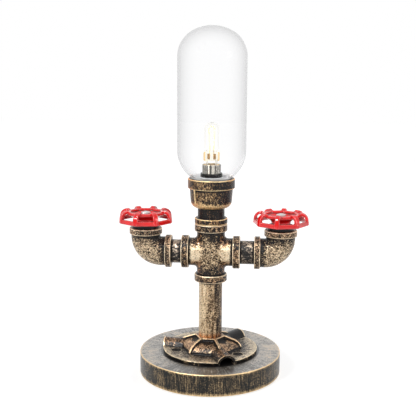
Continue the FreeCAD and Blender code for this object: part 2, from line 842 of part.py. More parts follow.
def holder_leads():
    """Two insulated leads from the contacts down the pipe to the terminal block."""
    leads = []
    for side in (-1, 1):
        x = side * pin_spacing / 2
        leads.append(wire_tube([
            Vector(x, 0, pin_bottom - run_on), Vector(x, 0, block_centre_z),
            Vector(x, block_front + lead_end, block_centre_z)], [lead_bend_radius], lead_radius))
    return grouped(leads)


# --- glass shade and its ring ---
def shade_face(outset):
    """Half section of the shade's envelope, moved inwards by outset, from foot to crown."""
    radius = shade_radius - outset
    foot_z = shade_foot + outset
    bowl_depth = math.sqrt(shade_radius ** 2 - shade_foot_radius ** 2)
    bowl_z = shade_foot + bowl_depth
    foot = math.sqrt(radius ** 2 - (bowl_z - foot_z) ** 2)
    knuckle = shade_knuckle_radius - outset
    crown = shade_crown_radius - outset
    crown_z = shade_top - shade_crown_radius
    offset = shade_radius - shade_knuckle_radius
    rise = math.sqrt((shade_crown_radius - shade_knuckle_radius) ** 2 - offset ** 2)
    knuckle_z = crown_z + rise
    lean = math.atan2(offset, rise)

    def bowl(angle):
        return Vector(radius * math.cos(angle), 0, bowl_z + radius * math.sin(angle))

    def shoulder(angle):
        return Vector(offset + knuckle * math.sin(angle), 0, knuckle_z + knuckle * math.cos(angle))

    def top(angle):
        return Vector(crown * math.sin(angle), 0, crown_z + crown * math.cos(angle))

    bowl_start = -math.asin((bowl_z - foot_z) / radius)
    axis_foot = Vector(0, 0, foot_z)
    edges = [
        Part.makeLine(axis_foot, Vector(foot, 0, foot_z)),
        Part.Arc(bowl(bowl_start), bowl(bowl_start / 2), bowl(0)).toShape(),
        Part.makeLine(bowl(0), shoulder(math.pi / 2)),
        Part.Arc(shoulder(math.pi / 2), shoulder((math.pi / 2 + lean) / 2),
                 shoulder(lean)).toShape(),
        Part.Arc(top(lean), top(lean / 2), top(0)).toShape(),
        Part.makeLine(top(0), axis_foot)]
    return Part.Face(Part.Wire(edges))


def glass_shade():
    """Blown glass capsule: long tube, rounded crown, and a rounded foot with a hole."""
    outside = shade_face(0).revolve(Vector(), UP, 360)
    inside = shade_face(shade_wall).revolve(Vector(), UP, 360)
    hole = post(ring_radius + ring_glass_gap, shade_foot - run_on,
                shade_foot + shade_wall + run_on)
    return outside.cut(inside).cut(hole)


def shade_ring():
    """Black ring fixed in the shade's foot, threaded onto the holder's sleeve."""
    flange_low = shade_foot - ring_flange_height
    return turned([
        (ring_bore_radius, ring_bottom), (ring_radius, ring_bottom), (ring_radius, flange_low),
        (ring_flange_radius, flange_low), (ring_flange_radius, shade_foot),
        (ring_radius, shade_foot), (ring_radius, shade_foot + ring_rise),
        (ring_bore_radius, shade_foot + ring_rise)])


# --- capsule lamp ---
def lamp_envelope():
    """Clear glass capsule with a flat pinched foot and a sealed tip."""
    top = pinch_top + capsule_length
    foot = block(pinch_width, pinch_thickness, pinch_bottom, pinch_top)
    tip = post(capsule_tip_radius, top - capsule_wall, top + capsule_tip_height)
    glass = capsule_shape(0, top).multiFuse([foot, tip])
    hollow = capsule_shape(capsule_wall, top)
    return glass.cut(hollow).cut(grouped([lamp_foils(), lamp_wires(), lamp_pins()]))


def capsule_shape(inset, top):
    """The lamp's round body, tapered at the foot and domed at the top, moved inwards by inset."""
    radius = capsule_radius - inset
    foot = pinch_top + inset
    return turned([
        (0, foot), (capsule_foot_share * radius, foot), (radius, foot + capsule_taper),
        (radius, top - inset, capsule_dome * radius), (0, top - inset)])


def lamp_pins():
    """Two hairpins of wire, each with its two ends sealed in the pinch."""
    half = pin_loop_width / 2 - pin_wire_radius
    high = pinch_bottom + pin_seal
    low = pin_bottom + pin_wire_radius
    pins = []
    for side in (-1, 1):
        left = side * pin_spacing / 2 - half
        right = side * pin_spacing / 2 + half
        path = [Vector(left, 0, high), Vector(left, 0, low),
                Vector(right, 0, low), Vector(right, 0, high)]
        pins.append(wire_tube(path, 2 * [pin_bend_share * half], pin_wire_radius))
    return grouped(pins)


def lamp_foils():
    """Two thin foils sealed in the pinch, between the pins and the filament's wires."""
    low = pinch_bottom + pin_seal
    inner = filament_foot_width / 2 - filament_wire_radius
    centre = inner + foil_width / 2
    foil = block(foil_width, foil_thickness, low, low + foil_length, centre)
    return grouped([foil, spun(foil, 180)])


def lamp_wires():
    """Two wires that carry the filament, from the foils up into the bulb."""
    low = pinch_bottom + pin_seal + foil_length
    wire = post(filament_wire_radius, low, filament_foot)
    wire.translate(Vector(filament_foot_width / 2, 0, 0))
    return grouped([wire, spun(wire, 180)])


def lamp_filament():
    """Filament envelope: a tall arch that widens a little towards the top."""
    foot = filament_foot_width / 2
    head = filament_top_width / 2
    top = filament_foot + filament_height
    return wire_tube(
        [Vector(-foot, 0, filament_foot), Vector(-head, 0, top),
         Vector(head, 0, top), Vector(foot, 0, filament_foot)],
        2 * [filament_bend_share * head], filament_radius)


parts = {
    "base_pad": base_pad(),
    "base_disc": base_disc(),
    "cable_inlet_bush": cable_inlet_bush(),
    "terminal_block": terminal_block(),
    "terminal_screws": terminal_screws(),
    "floor_flange": floor_flange(),
    "flange_screws": flange_screws(),
    "stem_pipe": stem_pipe(),
    "cross_fitting": cross_fitting(),
    "top_nipple": top_nipple(),
    "reducing_coupling": reducing_coupling(),
    "holder_plate": holder_plate(),
    "holder_sleeve": holder_sleeve(),
    "holder_lock_nut": holder_lock_nut(),
    "holder_ceramic": holder_ceramic(),
    "holder_contacts": holder_contacts(),
    "holder_leads": holder_leads(),
    "shade_ring": shade_ring(),
    "glass_shade": glass_shade(),
    "lamp_envelope": lamp_envelope(),
    "lamp_filament": lamp_filament(),
    "lamp_wires": lamp_wires(),
    "lamp_foils": lamp_foils(),
    "lamp_pins": lamp_pins(),
}
for hand, arm, side in (("left", arm_left, -1), ("right", arm_right, 1)):
    parts["arm_nipple_" + hand] = arm_nipple(arm, side)
    parts["elbow_" + hand] = elbow(arm, side)
    parts["elbow_plug_" + hand] = elbow_plug(arm, side)
    parts["spindle_" + hand] = spindle(arm, side)
    parts["handwheel_" + hand] = handwheel(arm, side)
    parts["wheel_washer_" + hand] = wheel_washer(arm, side)
    parts["wheel_nut_" + hand] = wheel_nut(arm, side)

for name, shape in parts.items():
    shape.exportStep("parts/" + name + ".step")
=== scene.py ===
# %% [markdown]
# A table lamp built from pipe fittings: round base, cast floor flange, stem, cross, two elbows with
# red handwheels, a bell-shaped coupling and a clear glass capsule round a small bright lamp.
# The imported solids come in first. They say where every piece is, and nothing here moves them.
# Pieces whose edges show are built again, finer, in the same place, and stand in for their solids.

# %% Load the frame
import math
from functools import partial
import bmesh
import bpy
from mathutils import Matrix, Vector


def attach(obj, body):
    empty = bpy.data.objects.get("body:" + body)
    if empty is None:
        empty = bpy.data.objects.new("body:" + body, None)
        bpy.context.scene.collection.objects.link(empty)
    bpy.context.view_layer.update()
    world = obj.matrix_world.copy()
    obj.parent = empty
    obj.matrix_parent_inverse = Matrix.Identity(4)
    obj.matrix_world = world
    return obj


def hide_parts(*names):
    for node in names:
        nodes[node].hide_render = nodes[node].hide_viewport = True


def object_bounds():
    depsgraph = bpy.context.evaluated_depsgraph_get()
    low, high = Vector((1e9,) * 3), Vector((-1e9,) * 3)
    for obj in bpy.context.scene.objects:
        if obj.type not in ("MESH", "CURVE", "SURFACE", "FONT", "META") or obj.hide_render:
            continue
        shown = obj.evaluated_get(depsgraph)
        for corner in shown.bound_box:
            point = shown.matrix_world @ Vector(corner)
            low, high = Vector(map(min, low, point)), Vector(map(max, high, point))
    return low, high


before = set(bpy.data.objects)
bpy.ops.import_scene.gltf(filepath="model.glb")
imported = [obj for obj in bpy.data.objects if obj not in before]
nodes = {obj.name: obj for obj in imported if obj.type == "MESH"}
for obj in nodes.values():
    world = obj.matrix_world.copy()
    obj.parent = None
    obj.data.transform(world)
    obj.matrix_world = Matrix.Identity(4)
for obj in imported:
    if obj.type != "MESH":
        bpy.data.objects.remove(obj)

cad_low, cad_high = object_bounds()
MM = 0.001
UP = Vector((0, 0, 1))
BODY = "lamp_body"
overall = [round(length / MM, 1) for length in cad_high - cad_low]
print(len(nodes), "solids, overall", overall, "mm")

# %% [markdown]
# The camera stands in front of the lamp, about 0.7 m away, a little to the right and looking
# slightly down, with a long lens. It is rolled by less than half a degree.

# %% Camera
camera_distance = 0.7212
camera_height = 0.2868
camera_azimuth = math.radians(-86.5)
camera_tilt = math.radians(10.40)
camera_roll = math.radians(0.42)
camera_aside = 0.0029
picture_width = 416
focal_in_pixels = 810.6

outwards = Vector((math.cos(camera_azimuth), math.sin(camera_azimuth), 0))
level_right = UP.cross(outwards).normalized()
look = (-outwards * math.cos(camera_tilt) - UP * math.sin(camera_tilt)).normalized()
level_up = level_right.cross(look)
camera_right = level_right * math.cos(camera_roll) + level_up * math.sin(camera_roll)
camera_up = camera_right.cross(look)
camera_place = outwards * camera_distance + UP * camera_height - level_right * camera_aside

camera_data = bpy.data.cameras.new("camera")
camera_data.sensor_width = 36.0
camera_data.lens = focal_in_pixels / picture_width * camera_data.sensor_width
camera = bpy.data.objects.new("camera", camera_data)
bpy.context.scene.collection.objects.link(camera)
turn = Matrix((camera_right, camera_up, -look)).transposed().to_4x4()
camera.matrix_world = Matrix.Translation(camera_place) @ turn
bpy.context.scene.camera = camera
bpy.context.scene.view_settings.view_transform = "Standard"
print("lens", round(camera_data.lens, 1), "mm")

# %% [markdown]
# Light and finishes are small node trees. A helper adds one node and sets its values or links, so
# that each tree can be read from top to bottom. Patterns read Object coordinates, in metres, so a
# scale of 500 gives marks of about 2 mm.

# %% Node helpers
WHITE = (1, 1, 1, 1)


def give(tree, node, inputs):
    """Gives each named input of a node a value or a link."""
    for name, value in inputs.items():
        if isinstance(value, bpy.types.NodeSocket):
            tree.links.new(value, node.inputs[name])
        else:
            node.inputs[name].default_value = value


def add(tree, kind, inputs=None, **settings):
    """Adds a node with its settings and inputs."""
    made = tree.nodes.new(kind)
    for name, value in settings.items():
        setattr(made, name, value)
    give(tree, made, inputs or {})
    return made


def shade(material, inputs):
    """Gives inputs to a material's own shader."""
    tree = material.node_tree
    give(tree, tree.nodes["Principled BSDF"], inputs)


def new_material(name):
    """A material, and the tree to build its nodes in."""
    material = bpy.data.materials.new(name)
    material.use_nodes = True
    return material, material.node_tree


def maths(tree, operation, first, second=0.0, third=0.0, **settings):
    """One Math node's result."""
    return add(tree, "ShaderNodeMath", {0: first, 1: second, 2: third}, operation=operation,
               **settings).outputs[0]


def ramp(tree, value, low, high, to_low=0.0, to_high=1.0):
    """The value eased from low to high into another range."""
    return add(tree, "ShaderNodeMapRange", {
        "Value": value, "From Min": low, "From Max": high, "To Min": to_low, "To Max": to_high},
        interpolation_type="SMOOTHSTEP").outputs["Result"]


def mixed(tree, amount, first, second, **settings):
    """Two colours mixed by an amount."""
    return add(tree, "ShaderNodeMix", {"Factor": amount, 6: first, 7: second}, data_type="RGBA",
               **settings).outputs[2]


def noise(tree, place, scale, detail=4.0, rough=0.6):
    """Cloudy noise between 0 and 1."""
    return add(tree, "ShaderNodeTexNoise", {
        "Vector": place, "Scale": scale, "Detail": detail, "Roughness": rough}).outputs["Fac"]


def own_place(tree):
    """Where a point is on its own object."""
    return add(tree, "ShaderNodeTexCoord").outputs["Object"]


def apart(tree, vector):
    """The X, Y and Z of a vector."""
    return add(tree, "ShaderNodeSeparateXYZ", {"Vector": vector}).outputs


def painted_on(tree, layer):
    """The value of a vertex layer."""
    return add(tree, "ShaderNodeAttribute", attribute_name=layer).outputs["Fac"]


def srgb(red, green, blue):
    """A colour written as it looks on screen, from 0 to 255, made linear."""
    parts = []
    for value in (red, green, blue):
        share = value / 255
        parts.append(share / 12.92 if share <= 0.04045 else ((share + 0.055) / 1.055) ** 2.4)
    return (*parts, 1)


def new_group(name, inputs, outputs):
    """An empty shader group. Its inputs and outputs are listed by kind."""
    tree = bpy.data.node_groups.new(name, "ShaderNodeTree")
    for way, sockets in (("INPUT", inputs), ("OUTPUT", outputs)):
        for kind, titles in sockets.items():
            for title in titles:
                tree.interface.new_socket(title, in_out=way, socket_type="NodeSocket" + kind)
    entry = tree.nodes.new("NodeGroupInput")
    leave = tree.nodes.new("NodeGroupOutput")
    return tree, entry.outputs, leave.inputs


# %% [markdown]
# Bronze and glass show what stands round them, so the world is white to the eye, through glass and
# in reflections, and gives plain soft light otherwise. Only in reflections, the side in front of
# the lamp is darker. That dark side gives paint and enamel their contrast.

# %% World
FRONT_STARTS, FRONT_FULL = -0.2, -0.8    # along Y, how far a direction points to the front
FRONT_DARKNESS = 0.5
SOFT_LIGHT = 0.29
world = bpy.data.worlds.new("studio")
bpy.context.scene.world = world
world.use_nodes = True
sky = world.node_tree
sky.nodes.clear()


def seen_by_eye(tree):
    """1 for rays from the eye, straight, reflected or through glass, and 0 for light."""
    ray = add(tree, "ShaderNodeLightPath").outputs
    through = maths(tree, "MAXIMUM", ray["Is Camera Ray"], ray["Is Transmission Ray"])
    return maths(tree, "MAXIMUM", through, ray["Is Glossy Ray"])


ray = add(sky, "ShaderNodeLightPath").outputs
bounced = maths(sky, "SUBTRACT", ray["Is Glossy Ray"], ray["Is Transmission Ray"], use_clamp=True)
toward = apart(sky, add(sky, "ShaderNodeTexCoord").outputs["Generated"])["Y"]
dark_front = add(sky, "ShaderNodeMapRange", {
    "Value": toward, "From Min": FRONT_STARTS, "From Max": FRONT_FULL, "To Min": 0.0,
    "To Max": FRONT_DARKNESS}).outputs["Result"]
level = maths(sky, "SUBTRACT", 1.0, maths(sky, "MULTIPLY", dark_front, bounced))
seen = add(sky, "ShaderNodeBackground", {"Color": WHITE, "Strength": level}).outputs[0]
soft = add(sky, "ShaderNodeBackground", {"Color": WHITE, "Strength": SOFT_LIGHT}).outputs[0]
shown = add(sky, "ShaderNodeMixShader", {0: seen_by_eye(sky), 1: soft, 2: seen}).outputs[0]
add(sky, "ShaderNodeOutputWorld", {"Surface": shown})
print("world", world.name)

# %% [markdown]
# Four soft square lamps look at the middle of the stem. The strongest stands in front at the left,
# a weaker one at the right, and one behind lights the edges. Glass and gloss don't show that one.
# The last lamp lights nothing and shows only as a gleam on what is glossy.

# %% Lamps
LAMP_AIM = Vector((0, 0, 0.13))
LAMPS = (    # name, place and side in metres, watts, and the rays that don't meet the lamp
    ("front_left", (-0.85, -1.10, 1.00), 0.45, 19.0, ()),
    ("front_right", (1.10, -0.60, 0.50), 0.45, 6.0, ()),
    ("back", (0.45, 1.00, 0.90), 0.60, 6.5, ("transmission", "glossy")),
    ("gleam", (-0.30, -0.55, 1.15), 0.25, 9.0, ("transmission", "diffuse")))
for name, place, side, watts, missing in LAMPS:
    light = bpy.data.lights.new(name, "AREA")
    light.shape = "SQUARE"
    light.size = side
    light.energy = watts
    lamp = bpy.data.objects.new(name, light)
    bpy.context.scene.collection.objects.link(lamp)
    lamp.location = place
    lamp.rotation_euler = (LAMP_AIM - Vector(place)).to_track_quat("-Z", "Y").to_euler()
    for kind in missing:
        setattr(lamp, "visible_" + kind, False)
print(len(LAMPS), "lamps")

# %% [markdown]
# The floor is a white sheet. To the eye it glows a little, the more the farther it is from the
# lamp, so that it looks white everywhere and keeps only a soft shadow. Light itself gets little of
# that glow, so the lamp isn't lit from below.

# %% Floor
FLOOR_HALF = 3.0
FLOOR_GLOW = (    # distance from the lamp in metres, and the glow there
    (0.5, 0.69), (1.0, 0.782), (1.25, 0.79), (1.5, 0.815), (1.88, 0.857), (FLOOR_HALF, 0.868))
GLOW_AS_LIGHT = 0.25
PAPER = (0.45, 0.45, 0.45, 1)
floor_mesh = bmesh.new()
bmesh.ops.create_grid(floor_mesh, x_segments=1, y_segments=1, size=FLOOR_HALF)
floor_data = bpy.data.meshes.new("floor")
floor_mesh.to_mesh(floor_data)
floor_mesh.free()
floor = bpy.data.objects.new("floor", floor_data)
bpy.context.scene.collection.objects.link(floor)

white_paper, sheet = new_material("white_paper")
away = add(sheet, "ShaderNodeVectorMath", {0: own_place(sheet)}, operation="LENGTH").outputs[1]
reach = add(sheet, "ShaderNodeMapRange", {"Value": away, "From Max": FLOOR_HALF}).outputs["Result"]
glow = add(sheet, "ShaderNodeValToRGB", {"Fac": reach})
stops = glow.color_ramp.elements
while len(stops) < len(FLOOR_GLOW):
    stops.new(0.5)
for stop, (distance, light) in zip(stops, FLOOR_GLOW):
    stop.position = distance / FLOOR_HALF
    stop.color = (light, light, light, 1)
share = add(sheet, "ShaderNodeMapRange", {"Value": seen_by_eye(sheet), "To Min": GLOW_AS_LIGHT})
shade(white_paper, {
    "Base Color": PAPER, "Roughness": 1.0, "Specular IOR Level": 0.0,
    "Emission Color": glow.outputs["Color"], "Emission Strength": share.outputs["Result"]})
floor_data.materials.append(white_paper)
print("floor", 2 * FLOOR_HALF, "m wide")

# %% [markdown]
# Every finer piece starts as an outline. A few vertices make a wire, each corner gets its own
# rounding with a vertex bevel, and the long runs are divided, so that marks along an edge can fade
# out before they reach the next one. Spinning the wire about an axis gives all turned pieces.

# %% Outlines and turning
RUN = 1.0      # longest run of an outline, in millimetres
TURNS = 96     # steps of a full spin


def outline(bm, corners, closed=False, run=RUN):
    """A wire in the XZ plane through (x, z) or (x, z, rounding) corners, in millimetres."""
    verts = [bm.verts.new((c[0] * MM, 0, c[1] * MM)) for c in corners]
    for pair in zip(verts, verts[1:]):
        bm.edges.new(pair)
    if closed:
        bm.edges.new((verts[-1], verts[0]))
    for vert, corner in zip(verts, corners):
        if len(corner) > 2:
            bmesh.ops.bevel(
                bm, geom=[vert], offset=corner[2] * MM, segments=5, profile=0.5,
                affect="VERTICES", material=-1)
    for edge in bm.edges[:]:
        cuts = int(edge.calc_length() / (run * MM))
        if cuts > 0:
            bmesh.ops.subdivide_edges(bm, edges=[edge], cuts=cuts)


def oblong(left, right, low, high):
    """The corners of an upright oblong."""
    return [(left, low), (right, low), (right, high), (left, high)]


def spun(bm, steps, gap=1e-7):
    """Spins a bmesh's wire once round the Z axis. Points nearer than gap, in metres, become one."""
    bmesh.ops.spin(
        bm, geom=bm.verts[:] + bm.edges[:], cent=(0, 0, 0), axis=(0, 0, 1), angle=math.tau,
        steps=steps, use_merge=True)
    bmesh.ops.remove_doubles(bm, verts=bm.verts, dist=gap)
    bmesh.ops.dissolve_degenerate(bm, edges=bm.edges, dist=1e-8)
    bmesh.ops.recalc_face_normals(bm, faces=bm.faces)
    return bm


def turned(corners, closed=False, run=RUN, steps=TURNS):
    """A new bmesh: the outline of (radius, height) corners spun once round the Z axis."""
    bm = bmesh.new()
    outline(bm, corners, closed, run)
    return spun(bm, steps)


def bar(radius, low, high, steps=TURNS):
    """A round bar on the Z axis."""
    return turned(oblong(0, radius, low, high), run=3.0, steps=steps)


def of_kind(geometry, kind):
    """The parts of a result that are of one kind."""
    return [part for part in geometry if isinstance(part, kind)]


def slab(corners, width, rounding, run=RUN):
    """A new bmesh: the closed XZ outline made a plate of that width, with its rims rounded."""
    bm = bmesh.new()
    outline(bm, corners, closed=True, run=run)
    face = bmesh.ops.contextual_create(bm, geom=bm.edges[:])["faces"]
    bmesh.ops.translate(bm, verts=bm.verts, vec=(0, -width / 2 * MM, 0))
    far_side = of_kind(bmesh.ops.extrude_face_region(bm, geom=face)["geom"], bmesh.types.BMVert)
    bmesh.ops.translate(bm, verts=far_side, vec=(0, width * MM, 0))
    bmesh.ops.recalc_face_normals(bm, faces=bm.faces)
    round_edges(bm, rounding, 60)
    return bm


def round_edges(bm, radius, sharper_than):
    """Rounds every edge that turns by more than an angle in degrees."""
    limit = math.radians(sharper_than)
    sharp = [e for e in bm.edges if e.is_manifold and e.calc_face_angle(0) > limit]
    bmesh.ops.bevel(
        bm, geom=sharp, offset=radius * MM, segments=3, profile=0.5, affect="EDGES",
        material=-1, clamp_overlap=True)


def joined(parts):
    """One bmesh from several, each of which keeps its own surface."""
    whole = bmesh.new()
    for bm in parts:
        mesh = bpy.data.meshes.new("part")
        bm.to_mesh(mesh)
        bm.free()
        whole.from_mesh(mesh)
        bpy.data.meshes.remove(mesh)
    return whole


LAYS = {    # what turns the Z axis into another one
    "Z": Matrix.Identity(3), "-Z": Matrix.Rotation(math.pi, 3, "X"),
    "X": Matrix.Rotation(math.pi / 2, 3, "Y"), "-X": Matrix.Rotation(-math.pi / 2, 3, "Y"),
    "Y": Matrix.Rotation(-math.pi / 2, 3, "X")}


def placed(bm, turn=0.0, along="Z", at=(0, 0, 0)):
    """Turns a bmesh about Z, lays its Z axis along another one, and moves it, in millimetres."""
    bmesh.ops.rotate(bm, verts=bm.verts, matrix=Matrix.Rotation(math.radians(turn), 3, "Z"))
    bmesh.ops.rotate(bm, verts=bm.verts, matrix=LAYS[along])
    bmesh.ops.translate(bm, verts=bm.verts, vec=Vector(at) * MM)
    return bm


# %% [markdown]
# Dry-brushed paint catches on outside corners and stays dark in inside ones. So each piece gets a
# number at every vertex, called wear: above 0 on an outside corner, below 0 in a hollow, and 0 on
# plain surfaces. It is measured from how far the neighbours lie below the vertex's own plane. On the
# base and the flange, painted shade is added to it as well. Two more numbers, load_and_light and
# tint, say where a piece gets more paint, where painted light and shade lie on it, and where copper
# shows.

# %% Finishing a piece
SHARP = math.radians(40)
WEAR_GAIN = 9.0
IS_HOLLOW, IS_EDGE, HOLLOW_FADES = -0.2, 0.25, 0.75


def layer_of(bm, name):
    """A number at every vertex, made when it isn't there yet."""
    return bm.verts.layers.float.get(name) or bm.verts.layers.float.new(name)


def mark_wear(bm, spread=1):
    """Stores, at each vertex, how far the surface bends outwards (positive) or inwards.

    Hollows are then widened by some steps, because a brush can't reach beside them either.
    """
    wear = layer_of(bm, "wear")
    bm.normal_update()
    for vert in bm.verts:
        bend = 0.0
        for edge in vert.link_edges:
            away = vert.co - edge.other_vert(vert).co
            if away.length > 1e-9:
                bend += away.normalized().dot(vert.normal)
        bend /= max(len(vert.link_edges), 1)
        vert[wear] = max(-1.0, min(1.0, bend * WEAR_GAIN + vert[wear]))
    for _ in range(spread):
        deepest = [min(e.other_vert(v)[wear] for e in v.link_edges) for v in bm.verts]
        for vert, near in zip(bm.verts, deepest):
            if near < IS_HOLLOW and vert[wear] < IS_EDGE:
                vert[wear] = min(vert[wear], near * HOLLOW_FADES)


def show(name, bm, finish, stands_for=(), body=BODY, wear=True, spread=1):
    """Makes the bmesh an object with its finish, on its body, in the place of its solids."""
    if wear:
        mark_wear(bm, spread)
    for face in bm.faces:
        face.smooth = True
    for edge in bm.edges:
        edge.smooth = not (edge.is_manifold and edge.calc_face_angle(0) > SHARP)
    mesh = bpy.data.meshes.new(name)
    bm.to_mesh(mesh)
    bm.free()
    piece = bpy.data.objects.new(name, mesh)
    bpy.context.scene.collection.objects.link(piece)
    for material in finish if isinstance(finish, (list, tuple)) else [finish]:
        mesh.materials.append(material)
    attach(piece, body)
    if stands_for:
        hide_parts(*stands_for)
    print(name, len(mesh.polygons), "faces")
    return piece


def paint(bm, layer, amount_at):
    """Adds to a vertex layer, wear, load or tint, what the rule gives for a place in millimetres."""
    values = layer_of(bm, layer)
    for vert in bm.verts:
        vert[values] += amount_at(vert.co / MM)


def choose(bm, rule):
    """Gives each face the finish whose number the rule gives for its middle and its normal."""
    for face in bm.faces:
        face.material_index = rule(face.calc_center_median() / MM, face.normal)


def fade(value, start, finish):
    """0 at start, 1 at finish, straight in between."""
    return max(0.0, min(1.0, (value - start) / (finish - start)))


def from_axis(p):
    """Distance from the Z axis."""
    return math.hypot(p.x, p.y)


# %% [markdown]
# The metal is painted black and then dry-brushed: a nearly dry brush with bronze paint leaves
# streaks on open surfaces and pale cream lines on every raised edge, and misses the hollows. One
# group holds this effect. Each material gives it its own brush direction, amounts and colours.

# %% The dry-brushed group
ROUND = 0.055    # metres that one radian round the axis counts for
HOLLOW_BLACK = (0.008, 0.007, 0.007, 1)
COPPER = (1.0, 0.50, 0.22, 1)
brushed, given, result = new_group(
    "dry_brushed",
    {"Vector": ["Streaks"],
     "Float": ["Radial", "Grain", "Speckle", "Cloud", "Brush", "Edge", "Pits"],
     "Color": ["Dark", "Middle", "Bronze", "Cream"]},
    {"Color": ["Color"], "Float": ["Roughness", "Metallic", "Height"]})
number = partial(maths, brushed)

here = own_place(brushed)
along = apart(brushed, here)
around = number("MULTIPLY", number("ARCTAN2", along["Y"], along["X"]), ROUND)
flat = add(brushed, "ShaderNodeCombineXYZ", {"X": along["X"], "Y": along["Y"]}).outputs[0]
outward = add(brushed, "ShaderNodeVectorMath", {0: flat}, operation="LENGTH").outputs["Value"]
polar = add(brushed, "ShaderNodeCombineXYZ", {"X": around, "Y": outward, "Z": along["Z"]}).outputs[0]
grid = add(brushed, "ShaderNodeMix", {"Factor": given["Radial"], 4: here, 5: polar},
           data_type="VECTOR").outputs[1]
stretched = add(brushed, "ShaderNodeVectorMath", {0: grid, 1: given["Streaks"]},
                operation="MULTIPLY").outputs["Vector"]
streak = noise(brushed, stretched, 1.0, 5.0, 0.62)
patch = noise(brushed, here, 85.0, 3.0, 0.55)
grain = noise(brushed, here, given["Grain"], 4.0, 0.75)
wear, load_and_light, tint = [painted_on(brushed, layer) for layer in ("wear", "load_and_light", "tint")]

# How much paint a place takes: streaks, grain and clouds, what the brush still holds there, and the
# painted light and shade of the load_and_light layer.
cloudy = number("MULTIPLY", number("SUBTRACT", patch, 0.5), given["Cloud"])
grainy = number("MULTIPLY_ADD", number("SUBTRACT", grain, 0.5), given["Speckle"], cloudy)
centred = number("MULTIPLY_ADD", number("SUBTRACT", streak, 0.5), 1.1, grainy)
held_and_lit = number("MULTIPLY_ADD", load_and_light, 0.4, number("MULTIPLY_ADD", given["Brush"], 0.8, -0.4))
over = number("ADD", centred, held_and_lit)
bronze_mask = ramp(brushed, over, -0.01, 0.09)
middle_mask = ramp(brushed, over, -0.16, 0.00)
thick_mask = number("MULTIPLY", ramp(brushed, over, 0.10, 0.34), 0.75)

# Edges, hollows and pits, each broken up by the grain.
broken = number("MULTIPLY_ADD", grain, 1.6, -0.8)
edge_mask = ramp(brushed, number("MULTIPLY_ADD", wear, given["Edge"], broken), 0.40, 0.80)
hollow = number("MULTIPLY_ADD", broken, -0.8, number("MULTIPLY", wear, -1.0))
hollow_mask = ramp(brushed, hollow, 0.15, 0.60)
pit_value = noise(brushed, here, number("MULTIPLY", given["Grain"], 0.8), 2.0, 0.5)
pit_mask = number("MULTIPLY", ramp(brushed, pit_value, 0.47, 0.36), given["Pits"])

colour = given["Dark"]
for mask, coat in ((middle_mask, given["Middle"]), (bronze_mask, given["Bronze"]),
                   (thick_mask, given["Cream"]), (pit_mask, given["Dark"]),
                   (edge_mask, given["Cream"]), (hollow_mask, HOLLOW_BLACK)):
    colour = mixed(brushed, mask, colour, coat)
uneven = number("MULTIPLY", tint, ramp(brushed, patch, 0.35, 0.60, 0.35, 1.0))
painted = number("MAXIMUM", bronze_mask, edge_mask)
height = number("MULTIPLY_ADD", painted, 0.3, number("MULTIPLY_ADD", pit_mask, -1.0, grain))
for title, value in (
        ("Color", mixed(brushed, uneven, colour, COPPER, blend_type="MULTIPLY")),
        ("Roughness", ramp(brushed, painted, 0.0, 1.0, 0.26, 0.34)),
        ("Metallic", number("MULTIPLY", painted, 0.75)),
        ("Height", height)):
    brushed.links.new(value, result[title])


def finish_from(name, group, values, bump, deep):
    """A material that takes colour, shine and bumps from a group. Gives also the group's results."""
    material, tree = new_material(name)
    gives = add(tree, "ShaderNodeGroup", values, node_tree=group).outputs
    bumped = add(tree, "ShaderNodeBump", {
        "Height": gives["Height"], "Strength": bump, "Distance": deep})
    shade(material, {"Base Color": gives["Color"], "Roughness": gives["Roughness"],
                     "Normal": bumped.outputs["Normal"]})
    return material, gives


def dry_brushed(name, streaks, brush, bump=0.4, gloss=0.22, dark=(14, 13, 13),
                middle=(78, 62, 48), bronze=(198, 168, 130), cream=(248, 232, 202), **amounts):
    """A dry-brushed metal finish with its own brush direction, amounts and colours."""
    values = {"Streaks": streaks, "Radial": 0.0, "Grain": 1100.0, "Speckle": 1.5, "Cloud": 0.5,
              "Brush": brush, "Edge": 1.0, "Pits": 0.4, "Dark": srgb(*dark),
              "Middle": srgb(*middle), "Bronze": srgb(*bronze), "Cream": srgb(*cream)}
    for title, amount in amounts.items():
        values[title.capitalize()] = amount
    material, gives = finish_from(name, brushed, values, bump, 0.0005)
    shade(material, {"Metallic": gives["Metallic"], "Specular IOR Level": gloss})
    return material


# %% Brushed finishes of each piece
cast_cross = dry_brushed("cast_cross", (430, 430, 430), 0.50, speckle=1.9, pits=0.6)
cast_elbow = dry_brushed(
    "cast_elbow", (520, 520, 520), 0.56, grain=1000, speckle=2.3, cloud=0.4, pits=1.0, bump=0.7,
    dark=(20, 18, 17), middle=(80, 68, 58), bronze=(190, 162, 128), cream=(246, 228, 196))
cast_coupling = dry_brushed(
    "cast_coupling", (1000, 1000, 220), 0.42, grain=1050, speckle=1.8, pits=0.6,
    bronze=(182, 146, 104), cream=(250, 222, 170))
cast_flange = dry_brushed(
    "cast_flange", (900, 260, 900), 0.43, grain=1000, speckle=1.3, cloud=0.6, pits=0.25, bump=0.3,
    middle=(90, 73, 59), bronze=(172, 147, 120), cream=(244, 222, 184))
cast_plate = dry_brushed(
    "cast_plate", (300, 900, 900), 0.50, grain=900, cloud=0.7, edge=1.1, pits=0.1,
    middle=(94, 84, 73), bronze=(168, 155, 138), cream=(246, 226, 190))
stem_paint = dry_brushed(
    "stem_paint", (700, 700, 80), 0.54, grain=1000, cloud=0.2, edge=0.8, pits=0.7,
    dark=(36, 29, 24), middle=(104, 82, 60), bronze=(190, 160, 124), cream=(242, 222, 188))
nipple_paint = dry_brushed(
    "nipple_paint", (260, 620, 620), 0.42, grain=1000, speckle=1.1, cloud=1.2, pits=0.3,
    dark=(38, 37, 36), middle=(92, 84, 77), bronze=(186, 168, 148))
